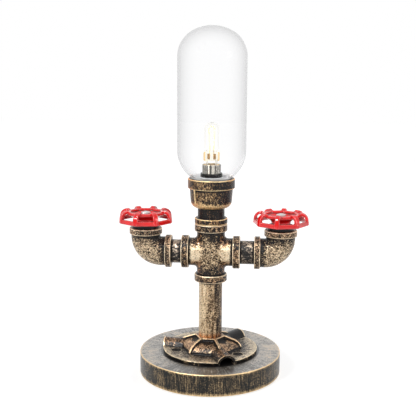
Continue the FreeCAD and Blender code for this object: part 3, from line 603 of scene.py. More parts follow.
base_side = dry_brushed(
    "base_side", (3200, 85, 85), 0.39, radial=1.0, speckle=1.0, cloud=0.3, edge=1.1, pits=0.1,
    bump=0.2, dark=(24, 25, 24), middle=(54, 50, 44), bronze=(164, 139, 104),
    cream=(240, 208, 158))
base_top = dry_brushed(
    "base_top", (1500, 60, 60), 0.50, radial=1.0, grain=900, speckle=1.1, cloud=0.7, pits=0.2,
    bump=0.3, gloss=0.6, dark=(66, 61, 54), middle=(130, 127, 121), bronze=(172, 166, 159),
    cream=(228, 196, 150))
shade(base_top, {"Coat Weight": 0.55, "Coat Roughness": 0.3})
screw_black = dry_brushed("screw_black", (500, 500, 500), 0.10, edge=0.5, pits=0.2)
# Near black, for the painted shade on the flange.
shadow_black = dry_brushed(
    "shadow_black", (300, 300, 300), 0.04, edge=0.3, pits=0.1, bump=0.15, gloss=0.12,
    middle=(34, 32, 30))

# %% [markdown]
# Plain finishes share a second group: a fine orange peel, soft blotches that change the colour and
# the shine a little, darkening in the hollows, and, where a finish asks for it, a painted highlight
# on raised edges. It keeps enamel, plastic, rubber and steel from looking like flat colour.

# %% The handled group and the plain finishes
HOLLOW_DARKNESS = (0.02, 0.018, 0.016, 1)
handled, given, result = new_group(
    "handled",
    {"Color": ["Colour"], "Float": ["Variation", "Shine", "Grain", "Edge Highlight"]},
    {"Color": ["Color"], "Float": ["Roughness", "Height"]})
number = partial(maths, handled)
here = own_place(handled)
blotch = noise(handled, here, 120.0, 3.0, 0.5)
amount = number("MULTIPLY", ramp(handled, blotch, 0.35, 0.65), given["Variation"])
darker = mixed(handled, 0.55, given["Colour"], (0.01, 0.01, 0.01, 1))
clean = mixed(handled, amount, given["Colour"], darker)
bend = painted_on(handled, "wear")
hollow_darkening = ramp(handled, number("MULTIPLY", bend, -1.0), 0.1, 0.8, 0.0, 0.85)
# Painted highlight: raised edges are mixed towards white.
thin = number("MULTIPLY", ramp(handled, bend, 0.25, 0.75), given["Edge Highlight"])
edge_lit = mixed(handled, thin, clean, WHITE)
rough = number("SUBTRACT", number("MULTIPLY_ADD", blotch, 0.16, given["Shine"]), 0.08)
for title, value in (("Color", mixed(handled, hollow_darkening, edge_lit, HOLLOW_DARKNESS)), ("Roughness", rough),
                     ("Height", noise(handled, here, given["Grain"], 3.0, 0.5))):
    handled.links.new(value, result[title])


def plain(name, colour, shine, metallic=0.0, variation=0.25, grain=1500.0, bump=0.05,
          edge_highlight=0.0):
    """A finish in one colour, with slight blotches and peel."""
    values = {"Colour": srgb(*colour), "Variation": variation, "Shine": shine, "Grain": grain,
              "Edge Highlight": edge_highlight}
    material, _ = finish_from(name, handled, values, bump, 0.0003)
    shade(material, {"Metallic": metallic})
    return material


# The enamel gets a faint painted highlight on its raised edges.
red_enamel = plain("red_enamel", (230, 4, 10), 0.14, variation=0.3, grain=900, bump=0.03,
                   edge_highlight=0.05)
shade(red_enamel, {
    "Specular IOR Level": 0.35, "Coat Weight": 0.5, "Coat IOR": 1.5, "Coat Roughness": 0.06})
gloss_black = plain("gloss_black", (18, 18, 18), 0.25)
shade(gloss_black, {"Specular IOR Level": 0.2})
rubber_black = plain("rubber_black", (34, 34, 34), 0.75, grain=2500, bump=0.15)
bright_steel = plain("bright_steel", (228, 228, 226), 0.30, metallic=0.85)
sleeve_steel = plain("sleeve_steel", (212, 208, 200), 0.24, metallic=0.8)
brass = plain("brass", (206, 170, 96), 0.30, metallic=1.0)
# The ceramic is painted in the lamp's amber light, and its middle and pin pockets in painted shade.
ceramic = plain("ceramic", (226, 188, 108), 0.60, variation=0.1)
ceramic_in_shade = plain("ceramic_in_shade", (96, 78, 54), 0.7)
foil_dark = plain("foil_dark", (142, 112, 72), 0.4, metallic=0.3)
# Painted reflection: the plate in the coupling's mouth and the collar's washer are pale, as the glass
# foot above them mirrors the white room.
plate_with_reflection = plain("plate_with_reflection", (222, 222, 220), 0.38, metallic=0.1, variation=0.5)
washer_with_reflection = plain("washer_with_reflection", (226, 228, 230), 0.30, variation=0.5)
terminal_white = plain("terminal_white", (222, 220, 210), 0.5)
lead_cream = plain("lead_cream", (224, 216, 196), 0.55)

# The bright turned sleeve has a painted reflection: upright bands of dark and light, as a round bar
# mirrors a room.
tree = sleeve_steel.node_tree
along = apart(tree, own_place(tree))
around = maths(tree, "ARCTAN2", along["Y"], along["X"])
bands = add(tree, "ShaderNodeTexNoise", {"W": around, "Scale": 2.6, "Detail": 2.0, "Roughness": 0.6},
            noise_dimensions="1D").outputs["Fac"]
reflection_bands = mixed(tree, ramp(tree, bands, 0.36, 0.62), srgb(50, 48, 46), srgb(212, 208, 200))
shade(sleeve_steel, {"Base Color": reflection_bands})

# %% [markdown]
# Clear glass on white paper shows only its edges, where the eye looks along the wall and sees more
# glass. Layer Weight's Facing gives that, so the tint goes from clear to grey towards the
# outline. Shadows of glass would be black, so the glass is nearly open to shadow rays. The shade's
# own gleams would hide the lamp in it, so its surfaces have no gloss.

# %% Glass and glow
SHADOW_LEFT = 0.12


def grey(share):
    """A neutral colour."""
    return (share, share, share * 1.005, 1)


def clear_glass(name, middle, edge, start, finish, bend=1.08, gloss=0.5):
    """Glass that is clear face on and tinted where it is seen along its wall.

    Thin blown walls hardly shift what is behind them, so the bend, its index, is low.
    """
    material, tree = new_material(name)
    facing = add(tree, "ShaderNodeLayerWeight", {"Blend": 0.5}).outputs["Facing"]
    in_shadow = add(tree, "ShaderNodeLightPath").outputs["Is Shadow Ray"]
    shade(material, {
        "Base Color": mixed(tree, ramp(tree, facing, start, finish), middle, edge),
        "Roughness": 0.0, "IOR": bend, "Transmission Weight": 1.0, "Specular IOR Level": gloss,
        "Alpha": maths(tree, "MULTIPLY_ADD", in_shadow, SHADOW_LEFT - 1.0, 1.0)})
    return material


shade_glass = clear_glass("shade_glass", grey(0.985), grey(0.66), 0.05, 0.85, gloss=0.0)
shade_inside = clear_glass("shade_inside", grey(1.0), grey(0.99), 0.5, 1.0, gloss=0.0)
lamp_glass = clear_glass("lamp_glass", grey(1.0), (0.93, 0.90, 0.78, 1), 0.3, 1.0)
ground_foot = clear_glass("ground_foot", grey(0.94), grey(0.86), 0.2, 1.0)
shade(ground_foot, {"Roughness": 0.35, "Transmission Weight": 0.6})
pinch_warm_glint = clear_glass(
    "pinch_warm_glint", (1.0, 0.96, 0.86, 1), (0.97, 0.86, 0.62, 1), 0.1, 0.8, bend=1.2)

# Painted glints of the lamp's warm light: the pinched foot is amber, deeper at its ends.
tree = pinch_warm_glint.node_tree
tinted = tree.nodes["Mix"].outputs[2]
sideways = maths(tree, "ABSOLUTE", apart(tree, own_place(tree))["X"])
amber_glints = mixed(tree, ramp(tree, sideways, 0.0048, 0.0070), tinted, (0.92, 0.60, 0.20, 1))
shade(pinch_warm_glint, {"Base Color": amber_glints})

filament_glow = plain("filament_glow", (232, 214, 158), 0.5)
shade(filament_glow, {"Emission Color": (1.0, 0.88, 0.58, 1), "Emission Strength": 0.22})
# The lead wires glow a little: painted light from the filament beside them.
wire_painted_glow = plain("wire_painted_glow", (176, 156, 110), 0.5)
shade(wire_painted_glow, {"Emission Color": (1.0, 0.85, 0.5, 1), "Emission Strength": 0.25})
print(len(bpy.data.materials), "finishes")

# %% [markdown]
# Castings have soft inner corners, where one form runs into the next. Overlapping shells are melted
# into one skin for them: a voxel remesh gives the skin and a few smoothing passes soften it.

# %% Melting, drilling and walls
def as_object(bm):
    """A passing object that carries a bmesh, for a modifier to work on."""
    mesh = bpy.data.meshes.new("passing")
    bm.to_mesh(mesh)
    bm.free()
    carrier = bpy.data.objects.new("passing", mesh)
    bpy.context.scene.collection.objects.link(carrier)
    return carrier


def modified(carrier, others=()):
    """The bmesh that an object's modifiers give. The passing objects are removed."""
    graph = bpy.context.evaluated_depsgraph_get()
    result = bmesh.new()
    result.from_object(carrier, graph)
    for one in (carrier, *others):
        bpy.data.meshes.remove(one.data)
    return result


def melted(bm, grain, passes):
    """One skin round all the shells of a bmesh, in steps of grain millimetres."""
    carrier = as_object(bm)
    remesh = carrier.modifiers.new("melt", "REMESH")
    remesh.mode = "VOXEL"
    remesh.voxel_size = grain * MM
    skin = modified(carrier)
    for _ in range(passes):
        bmesh.ops.smooth_vert(
            skin, verts=skin.verts, factor=0.5, use_axis_x=True, use_axis_y=True, use_axis_z=True)
    return skin


def drilled(bm, cutter):
    """The bmesh with the cutter's space taken out of it."""
    carrier = as_object(bm)
    tool = as_object(cutter)
    cut = carrier.modifiers.new("drill", "BOOLEAN")
    cut.operation = "DIFFERENCE"
    cut.solver = "EXACT"
    cut.object = tool
    return modified(carrier, [tool])


def walled(bm, thickness, even=False):
    """The open skin given a wall, inwards."""
    carrier = as_object(bm)
    wall = carrier.modifiers.new("wall", "SOLIDIFY")
    wall.thickness = thickness * MM
    wall.offset = -1.0
    wall.use_even_offset = even
    return modified(carrier)


# %% [markdown]
# The base is a turned disc of wood or metal, painted. Its top is brushed pale grey in strokes that
# run outwards, and its side black with upright streaks, so the disc has two finishes. The cable
# channel is drilled through its back edge, where the rubber bush sits.

# %% Base
PAD_TOP, DISC_TOP, DISC_R, RECESS_TOP, RECESS_R = 1.0, 20.6, 65.0, 12.0, 27.0
LEAD_HOLE_R, CHANNEL_R = 8.0, 4.6
BUSH_BORE, BUSH_R, BUSH_RIM_R, BUSH_START, BUSH_RIM, BUSH_END = 2.75, 4.55, 6.0, 53.0, 12.0, 13.6
PLATE_EDGE = 44.2    # where the flange's plate begins to shade the disc
INLET_Z = (PAD_TOP + RECESS_TOP) / 2
disc = turned([
    (LEAD_HOLE_R, RECESS_TOP), (RECESS_R, RECESS_TOP), (RECESS_R, PAD_TOP), (DISC_R, PAD_TOP, 0.7),
    (DISC_R, DISC_TOP, 0.7), (LEAD_HOLE_R, DISC_TOP)], closed=True, run=0.7, steps=180)
disc = drilled(disc, placed(bar(CHANNEL_R, 20, 80, steps=32), along="Y", at=(0, 0, INLET_Z)))
choose(disc, lambda middle, normal: normal.z > 0.72 and middle.z > DISC_TOP - 1)


def base_load_and_sheen(p):
    """Gold gathers at the foot of the side and under its top edge. On the top, a painted reflection,
    dark at the front and paler to the left and right, and painted shade along the flange.
    """
    reach = from_axis(p)
    if reach > DISC_R - 0.9:
        return 0.9 * fade(p.z, 4.5, PAD_TOP) + 0.5 * fade(p.z, DISC_TOP - 2.5, DISC_TOP)
    if p.z < DISC_TOP - 0.5:
        return 0.0
    sides = 0.15 * fade(abs(p.x), 34, 56) - 0.9 * fade(reach, PLATE_EDGE + 2, PLATE_EDGE + 0.2)
    return 0.6 * fade(reach, 63, 65) + sides - 0.45 * fade(-p.y, 20, 50) * fade(abs(p.x), 50, 20)


def plate_contact_shadow(p):
    """Painted shadow on the disc's top, along the edge of the flange."""
    return -fade(from_axis(p), PLATE_EDGE + 1.8, PLATE_EDGE) if p.z > DISC_TOP - 0.1 else 0.0


paint(disc, "load_and_light", base_load_and_sheen)
paint(disc, "wear", plate_contact_shadow)
show("base_disc_turned", disc, [base_side, base_top], ["base_disc"])

bush = turned([
    (BUSH_BORE, 0, 0.4), (BUSH_R, 0), (BUSH_R, BUSH_RIM), (BUSH_RIM_R, BUSH_RIM, 0.4),
    (BUSH_RIM_R, BUSH_END, 0.7), (BUSH_BORE, BUSH_END, 0.5)], closed=True, steps=64)
show("inlet_bush", placed(bush, along="Y", at=(0, BUSH_START, INLET_Z)), rubber_black,
     ["cable_inlet_bush"])

# %% [markdown]
# The floor flange is a sand casting: a round plate, a six-sided hub with pillowed sides, a raised
# fin down each corner and three half-round tunnels. The forms are melted into one skin, as the sand
# rounds them. The tunnels' hollows, the stem's seat and the screw holes are then cut out sharply.

# %% Floor flange
FLANGE_R, FLANGE_TOP, HUB_TOP = 43.6, 23.6, 34.7
SKIRT_R, HUB_R, COLLAR_LOW, PIPE_R = 28.9, 14.0, 32.3, 10.67
FIN_FOOT, FIN_BEND = (29.4, 25.6), (26.6, 30.6)    # radius and height where a fin's back turns
FLANGE_TURN = -66.5
SCREW_CIRCLE, SCREW_R, SCREW_LONG, SINK_DEPTH = 32.9, 4.1, 14.0, 2.4
TUNNEL_R, TUNNEL_WALL = 8.8, 2.0


def six_sided(corners):
    """A closed form with six flat sides, from its corner line of (corner radius, height)."""
    bm = bmesh.new()
    outline(bm, corners, run=90)
    return spun(bm, 6)


def tunnels(radius, low, high):
    """Three round bars that lie level on the disc, a third of a turn apart."""
    bars = [bar(radius, low, high, steps=64) for _ in range(3)]
    level = [placed(bm, along="X", at=(0, 0, DISC_TOP)) for bm in bars]
    return [placed(bm, turn=120 * third) for third, bm in enumerate(level)]


shells = [
    turned([(0, DISC_TOP), (FLANGE_R, DISC_TOP), (FLANGE_R, FLANGE_TOP, 0.4), (0, FLANGE_TOP)],
           run=90, steps=144),
    six_sided([(0, DISC_TOP + 0.5), (SKIRT_R, DISC_TOP + 0.5), (SKIRT_R, FLANGE_TOP + 1.6),
               (25.8, 29.0, 3.5), (HUB_R, COLLAR_LOW), (HUB_R, HUB_TOP), (0, HUB_TOP)])]
for sixth in range(6):
    fin = slab([
        (9.0, 21.6), (FIN_FOOT[0], 21.6), (*FIN_FOOT, 0.7), (*FIN_BEND, 4.0),
        (HUB_R + 0.3, HUB_TOP, 0.4), (9.0, HUB_TOP)], 2.1, 0.3, run=90)
    shells.append(placed(fin, turn=60 * sixth))
flange = melted(joined(shells + tunnels(TUNNEL_R, 15.0, 46.0)), grain=0.45, passes=2)

flange = drilled(flange, turned(oblong(0, 60, 10, DISC_TOP), run=90))
flange = drilled(flange, turned(oblong(FLANGE_R, 60, 19, 40), closed=True, run=90, steps=144))
holes = [turned([(0, 19), (9.0, 19), (9.0, FLANGE_TOP), (PIPE_R + 0.05, FLANGE_TOP),
                 (PIPE_R + 0.05, 40), (0, 40)], run=90)]
holes += tunnels(TUNNEL_R - TUNNEL_WALL, 21.0, 50.0)
for third in range(3):
    sink = turned([
        (0, 19), (2.2, 19), (2.2, FLANGE_TOP - SINK_DEPTH), (SCREW_R + 0.6, FLANGE_TOP - 0.1),
        (SCREW_R + 0.6, FLANGE_TOP + 2), (0, FLANGE_TOP + 2)], run=90, steps=48)
    holes.append(placed(placed(sink, at=(SCREW_CIRCLE, 0, 0)), turn=30 + 120 * third))
flange = drilled(flange, joined(holes))
screw_places = [
    (SCREW_CIRCLE * math.cos(math.radians(a)), SCREW_CIRCLE * math.sin(math.radians(a)))
    for a in (30, 150, 270)]


def from_screw(p):
    """Distance from the axis of the nearest screw."""
    return min(math.hypot(p.x - x, p.y - y) for x, y in screw_places)


def from_fin(p):
    """Distance sideways from the nearest of the six fins, and distance outwards, in millimetres."""
    around = math.atan2(p.y, p.x) % (math.pi / 3)
    around = min(around, math.pi / 3 - around)
    return from_axis(p) * math.sin(around), from_axis(p) * math.cos(around)


def fin_crest(out):
    """Height of a fin's top at a distance outwards."""
    (foot, low), (knee, high) = FIN_FOOT, FIN_BEND
    if out > knee:
        return low + (foot - out) / (foot - knee) * (high - low)
    return high + (knee - out) / (knee - HUB_R - 0.3) * (HUB_TOP - high)


def fin_wear_and_shade(p):
    """Cream on the tops of the fins, of the hub's collar and of the tunnels' mouths, and painted
    shade: black in the mouths and screw holes, beside the fins, under the collar and at the skirt's
    foot.
    """
    aside, out = from_fin(p)
    if from_axis(p) > FLANGE_R - 1.0 and p.z > FLANGE_TOP + 0.2:
        return 0.8 if from_tunnel(p) > TUNNEL_R - 0.5 else -0.8
    if from_screw(p) < SCREW_R + 0.3:
        return -0.8
    if from_screw(p) < SCREW_R + 1.3:
        return 0.5
    if p.z < FLANGE_TOP + 0.4 or out > FIN_FOOT[0] + 0.2:
        return 0.0
    below = fin_crest(out) - p.z
    if aside < 1.15 and below < 1.3:
        return 0.05
    if aside < 2.5 and out > HUB_R:
        return -0.5
    if out < HUB_R + 1.6 and p.z < HUB_TOP - 1.2:
        return -0.7
    if p.z < FLANGE_TOP + 2.0 and skirt_side(p) > SKIRT_R * 0.845:
        return -0.7
    return 0.0


def from_tunnel(p):
    """Distance from the middle line of the nearest tunnel."""
    around = (math.atan2(p.y, p.x) + math.pi / 3) % (math.tau / 3) - math.pi / 3
    return math.hypot(from_axis(p) * math.sin(around), p.z - DISC_TOP)


def skirt_side(p):
    """Distance out along the middle line of the nearest of the hub's six sides."""
    around = (math.atan2(p.y, p.x) % (math.pi / 3)) - math.pi / 6
    return from_axis(p) * math.cos(around)


def flange_load_and_shade(p):
    """Painted shade on the plate at the skirt's foot; darker over the far tunnel and on the tunnels'
    crests near the rim, more paint on the plate's outer edge, the upper hub and the panels' feet.
    """
    reach = from_axis(p)
    across_tunnel = abs(p.x * math.cos(math.pi / 6) + p.y / 2)
    far_tunnel = -0.8 if p.y > 14 and across_tunnel < 9.5 else 0.0
    if p.z < FLANGE_TOP + 0.6:
        return 0.5 * fade(reach, 34, 43) - 0.4 * fade(reach, 33, 27)
    foot = 0.15 * fade(p.z, 30, 26) if from_tunnel(p) > TUNNEL_R + 1.0 else 0.0
    crest = -0.25 if from_tunnel(p) < TUNNEL_R + 0.8 and reach > 24.0 else 0.0
    return 0.3 * fade(p.z, 25, 30) + foot + far_tunnel + crest


def flange_finish(middle, normal):
    """Painted shade, near black, on the plate's side, on faces turned down, in the tunnel mouths and
    in the screws' sinks; its own brushing on the flat of the plate.
    """
    rim = from_axis(middle) > FLANGE_R - 0.3
    side = rim and abs(normal.z) < 0.5 and middle.z < FLANGE_TOP
    mouth = rim and from_tunnel(middle) < TUNNEL_R - 0.45
    sunk = middle.z < FLANGE_TOP - 0.1 and from_screw(middle) < SCREW_R + 1.2
    if side or mouth or sunk or (from_axis(middle) > 20.0 and normal.z < -0.05):
        return 1
    return 2 if abs(middle.z - FLANGE_TOP) < 0.4 and normal.z > 0.8 else 0


paint(flange, "wear", fin_wear_and_shade)
paint(flange, "load_and_light", flange_load_and_shade)
paint(flange, "tint", lambda p: 0.3 * fade(p.z, FLANGE_TOP + 1, FLANGE_TOP + 3))
choose(flange, flange_finish)
show("flange_casting", placed(flange, turn=FLANGE_TURN), [cast_flange, shadow_black, cast_plate],
     ["floor_flange"], spread=2)

screws = []
for third in range(3):
    head = turned([
        (0, FLANGE_TOP - SCREW_LONG), (2.0, FLANGE_TOP - SCREW_LONG),
        (2.0, FLANGE_TOP - SINK_DEPTH), (SCREW_R - 0.3, FLANGE_TOP - 0.6, 0.15),
        (0, FLANGE_TOP - 0.4)], run=0.6, steps=48)
    for across in (0, 90):
        slot = slab(oblong(-2.1, 2.1, FLANGE_TOP - 1.6, FLANGE_TOP + 1), 0.8, 0.02)
        head = drilled(head, placed(slot, turn=across + 20 * third))
    angle = math.radians(FLANGE_TURN + 30 + 120 * third)
    at = (SCREW_CIRCLE * math.cos(angle), SCREW_CIRCLE * math.sin(angle), 0)
    screws.append(placed(head, at=at))
show("flange_wood_screws", joined(screws), screw_black, ["flange_screws"])

# %% [markdown]
# The pipes are plain turned tubes. The stem is brushed up and down, and the two short nipples
# along their own length. Their ends are hidden in the fittings.

# %% Pipes
PIPE_BORE, SOCKET = 7.9, 9.0
CROSS_Z, REACH = 113.9, 26.6
ARM = {"left": (-59.6, -1), "right": (63.2, 1)}
ELBOW_REACH, ELBOW_RISE = 23.7, 21.6
TOP_NIPPLE_TOP = 149.8


def pipe(low, high):
    """A tube on the Z axis."""
    return turned([(PIPE_BORE, low), (PIPE_R, low, 0.2), (PIPE_R, high, 0.2), (PIPE_BORE, high)],
                  closed=True, run=1.5)


stem = pipe(FLANGE_TOP, CROSS_Z - REACH + SOCKET)
paint(stem, "wear", lambda p: -0.9 * fade(p.z, CROSS_Z - REACH - 1.6, CROSS_Z - REACH))
# Painted light and shade: more paint on the stem's left, less on its right.
paint(stem, "load_and_light", lambda p: 0.45 * fade(-p.x, -4, 6) - 0.25 * fade(p.x, -1, 7))
paint(stem, "tint", lambda p: fade(p.z, HUB_TOP + 5, HUB_TOP + 1))
show("stem_tube", stem, stem_paint, ["stem_pipe"])
show("top_nipple_tube", pipe(CROSS_Z + REACH - SOCKET, TOP_NIPPLE_TOP), nipple_paint,
     ["top_nipple"])
for hand, (arm, side) in ARM.items():
    elbow_mouth = abs(arm) - ELBOW_REACH
    short = pipe(REACH - SOCKET, elbow_mouth + SOCKET)
    paint(short, "wear", lambda p: -0.9 * max(
        fade(p.z, REACH + 1.5, REACH), fade(p.z, elbow_mouth - 1.5, elbow_mouth)))
    short = placed(short, along="X" if side > 0 else "-X", at=(0, 0, CROSS_Z))
    show("nipple_tube_" + hand, short, nipple_paint, ["arm_nipple_" + hand])

# %% [markdown]
# The cross is cast in one piece, with a raised band round each of its four mouths. Two crossed bars
# and four quarter rings in the inner corners are melted together. The bands are turned on
# their own, because their crisp edges catch the brush and would be lost in the melting.

# %% Cross
BAND_R, LEG_R, BAND_W, MOUTH_R = 14.85, 12.7, 6.6, 10.72


def band(low, high):
    """The raised ring round a mouth. The line where it meets the casting, at low, stays dark."""
    made = turned([(MOUTH_R, low, 0.2), (BAND_R, low, 0.7), (BAND_R, high, 0.7),
                   (MOUTH_R, high, 0.5)], closed=True, run=0.8)
    paint(made, "load_and_light", lambda p: -0.2 if from_axis(p) > BAND_R - 0.05 else 0.0)
    paint(made, "tint", lambda p: 0.2)
    paint(made, "wear", lambda p: -0.9 if abs(p.z - low) < 0.3 and from_axis(p) < 13.9 else 0.0)
    mark_wear(made)
    return made


def quarter_bend(radius, bend_radius, rise=0.0, steps=32):
    """A quarter of a round ring, from the leg along +X up to the leg along +Z."""
    bm = bmesh.new()
    bmesh.ops.create_circle(bm, cap_ends=True, radius=radius * MM, segments=72)
    bmesh.ops.rotate(bm, verts=bm.verts, matrix=Matrix.Rotation(math.pi / 2, 3, "Y"))
    bmesh.ops.translate(bm, verts=bm.verts, vec=(bend_radius * MM, 0, rise * MM))
    bmesh.ops.spin(
        bm, geom=bm.faces[:], cent=(bend_radius * MM, 0, bend_radius * MM), axis=(0, 1, 0),
        angle=math.pi / 2, steps=steps, use_duplicate=False)
    bmesh.ops.remove_doubles(bm, verts=bm.verts, dist=1e-6)
    bmesh.ops.recalc_face_normals(bm, faces=bm.faces)
    return bm


inner_end = REACH - BAND_W
shells = [placed(bar(LEG_R, -inner_end - 0.5, inner_end + 0.5), along=lay) for lay in ("Z", "X")]
for quarter in range(4):
    corner = quarter_bend(10.0, LEG_R + 3.0, LEG_R - 10.0)
    onward = Matrix.Rotation(math.pi / 2 * quarter, 3, "Y")
    bmesh.ops.rotate(corner, verts=corner.verts, matrix=onward)
    shells.append(corner)
skin = melted(joined(shells), grain=0.6, passes=4)


def cross_wear(p):
    """Black beside the bands, at the ends of all four legs."""
    along = max(abs(p.x), abs(p.z))
    return -fade(along, inner_end - 3.2, inner_end - 0.6)


def cross_load_and_highlight(p):
    """Painted highlight and shade: more paint on the level legs in front and behind, and less on top
    and below.
    """
    level_leg = fade(abs(p.x), 6, 11) * fade(abs(p.z), 10, 5)
    return 0.75 * level_leg - 0.3 * fade(abs(p.z), 9, 13)


def cross_tint(p):
    """Copper shows where the level legs run into the upright ones."""
    return 0.8 * fade(abs(p.z), 5, 10) * fade(abs(p.x), 6, 10) * fade(abs(p.x), 19, 14)


paint(skin, "wear", cross_wear)
paint(skin, "load_and_light", cross_load_and_highlight)
paint(skin, "tint", cross_tint)
mark_wear(skin)
bands = [placed(band(inner_end, REACH), along=lay) for lay in ("Z", "X", "-X", "-Z")]
show("cross_casting", placed(joined([skin, *bands]), at=(0, 0, CROSS_Z)), cast_cross,
     ["cross_fitting"], wear=False)

# %% [markdown]
# Each elbow is a quarter bend with two short straight legs and a band round both mouths. A circle
# spun through 90 degrees gives the bend. Its open rims are pulled out straight for the legs.

# %% Elbows
ELBOW_R, ELBOW_BEND, ELBOW_BAND = 13.2, 14.0, 5.4
LEVEL, UPRIGHT = ELBOW_REACH - ELBOW_BAND, ELBOW_RISE - ELBOW_BAND


def pulled(bm, axis, finish, steps):
    """Pulls the open rim that lies across an axis straight out to finish, in steps."""
    rim = [e for e in bm.edges if e.is_boundary and all(
        abs(v.co[axis] - ELBOW_BEND * MM) < 1e-6 for v in e.verts)]
    step = Vector()
    step[axis] = (finish - ELBOW_BEND) / steps * MM
    for _ in range(steps):
        made = bmesh.ops.extrude_edge_only(bm, edges=rim)["geom"]
        bmesh.ops.translate(bm, verts=of_kind(made, bmesh.types.BMVert), vec=step)
        rim = [e for e in of_kind(made, bmesh.types.BMEdge) if e.is_boundary]


def elbow_hollow(p):
    """Black beside the bands, at both ends of the bend."""
    return -0.9 * max(fade(p.x, LEVEL - 1.6, LEVEL - 0.4), fade(p.z, UPRIGHT - 1.6, UPRIGHT - 0.4))


def elbow_load(p):
    """Less paint beside the bands and in the throat, more on the outside of the bend."""
    beside = max(fade(p.x, LEVEL - 6, LEVEL - 1), fade(p.z, UPRIGHT - 7, UPRIGHT - 1))
    around = math.hypot(ELBOW_BEND - min(p.x, ELBOW_BEND), ELBOW_BEND - min(p.z, ELBOW_BEND))
    return 0.15 - 0.8 * beside - 0.5 * fade(around, 12, 3)


for hand, (arm, side) in ARM.items():
    bend = quarter_bend(ELBOW_R, ELBOW_BEND, steps=48)
    flat_ends = [f for f in bend.faces if len(f.verts) > 4]
    bmesh.ops.delete(bend, geom=flat_ends, context="FACES_ONLY")
    pulled(bend, 0, LEVEL, 6)
    pulled(bend, 2, UPRIGHT, 4)
    bmesh.ops.recalc_face_normals(bend, faces=bend.faces)
    mark_wear(bend)
    paint(bend, "wear", elbow_hollow)
    paint(bend, "load_and_light", elbow_load)
    upper, inner = band(UPRIGHT, ELBOW_RISE), placed(band(LEVEL, ELBOW_REACH), along="X")
    whole = placed(joined([bend, upper, inner]), turn=180 if side > 0 else 0,
                   at=(arm, 0, CROSS_Z))
    show("elbow_casting_" + hand, whole, cast_elbow, ["elbow_" + hand], wear=False)

# %% [markdown]
# The coupling is a bell: a band, a neck, a sharp round shoulder, a wide body that opens a little
# and a broad top band. One outline gives all of it, mouth and hollow inside included. Two
# straight ribs run up its body, as the casting has them for a wrench to grip.

# %% Reducing coupling
BOTTOM = CROSS_Z + REACH + 0.3
TOP = BOTTOM + 41.0
SHOULDER = BOTTOM + 14.8
BAND_TOP, RIM_LOW, PLATE = BOTTOM + 5.0, TOP - 8.8, TOP - 9.8
NECK_R, BODY_LOW_R, BODY_HIGH_R, TOP_R = 12.2, 18.2, 19.5, 21.2
LIP_R, PLATE_R, HOLLOW_R, THROAT_R = 18.0, 15.9, 14.2, 9.4


def neck_and_shoulder(p):
    """Less paint on the neck, more on the shoulder above it."""
    if BAND_TOP + 0.1 < p.z < SHOULDER - 0.3:
        return -0.42
    return 0.9 * fade(p.z, SHOULDER + 6, SHOULDER + 3) if p.z > SHOULDER - 0.3 else 0.0


def rim_load(p):
    """Bright on the outer top edge of the band, dark on the face round the glass."""
    if p.z < TOP - 2.3:
        return 0.0
    if from_axis(p) < TOP_R - 1.1:
        return -0.9
    return 0.8 if p.z > TOP - 0.3 else 0.0


bell = turned([
    (MOUTH_R, BOTTOM, 0.4), (BAND_R, BOTTOM, 0.7), (BAND_R, BAND_TOP, 0.7), (NECK_R, BAND_TOP, 0.5),
    (NECK_R, SHOULDER - 0.6, 0.9), (BODY_LOW_R, SHOULDER + 0.6, 4.6),
    (BODY_HIGH_R, RIM_LOW, 0.3), (TOP_R, RIM_LOW, 0.7), (TOP_R, TOP, 0.8), (LIP_R, TOP, 0.5),
    (PLATE_R, TOP - 2.1, 0.3), (PLATE_R, PLATE), (HOLLOW_R, PLATE), (HOLLOW_R, SHOULDER + 7),
    (THROAT_R, SHOULDER + 2), (THROAT_R, BOTTOM + 9), (MOUTH_R, BOTTOM + 9)],
    closed=True, run=0.9)
mark_wear(bell)
paint(bell, "load_and_light", neck_and_shoulder)
paint(bell, "load_and_light", rim_load)
# Painted shade: less paint towards the right.
paint(bell, "load_and_light", lambda p: -0.35 * fade(p.x, 0, 12))
paint(bell, "tint", lambda p: 0.8 * fade(abs(p.x), 11, 19)
      + 0.25 * fade(p.z, SHOULDER + 6, SHOULDER + 2))
paint(bell, "wear", lambda p: -0.9 * fade(abs(p.z - RIM_LOW + 0.3), 1.6, 0.5)
      if from_axis(p) < 19.8 else 0.0)
ribs = [bell]
for half in range(2):
    rib = slab([(15.2, SHOULDER + 4), (19.1, SHOULDER + 4, 0.6), (20.4, RIM_LOW),
                (15.2, RIM_LOW)], 2.0, 0.45)
    mark_wear(rib)
    ribs.append(placed(rib, turn=44.0 + 180 * half))
show("coupling_casting", joined(ribs), cast_coupling, ["reducing_coupling"], wear=False)

# %% [markdown]
# A black plug closes each elbow. The handwheel turns on a spindle in it: rim, upper ring, eight
# arched spokes, a dished web and a hub, cast in one and enamelled red. Enamel fills the corners and
# rounds the edges, so the wheel is melted from its shells as the cross is.

# %% Handwheels
ELBOW_TOP = CROSS_Z + ELBOW_RISE
PLUG_TOP = ELBOW_TOP + 4.7
WHEEL = PLUG_TOP + 0.5
WHEEL_R, UPPER_R = 25.5, 18.3
PLUG_R, PLUG_BORE, SPINDLE_R, COLLAR_R, THREAD_R = 12.0, 3.05, 4.2, 5.0, 2.4
WASHER_BORE, WASHER_R, NUT_FLATS = 2.55, 5.0, 8.0


def eight_sided(corner, width, low, high, rounding):
    """A ring of eight straight sides with its edges rounded."""
    bm = bmesh.new()
    outline(bm, oblong(corner - width, corner, low, high), closed=True, run=90)
    spun(bm, 8)
    round_edges(bm, rounding, 30)
    return bm


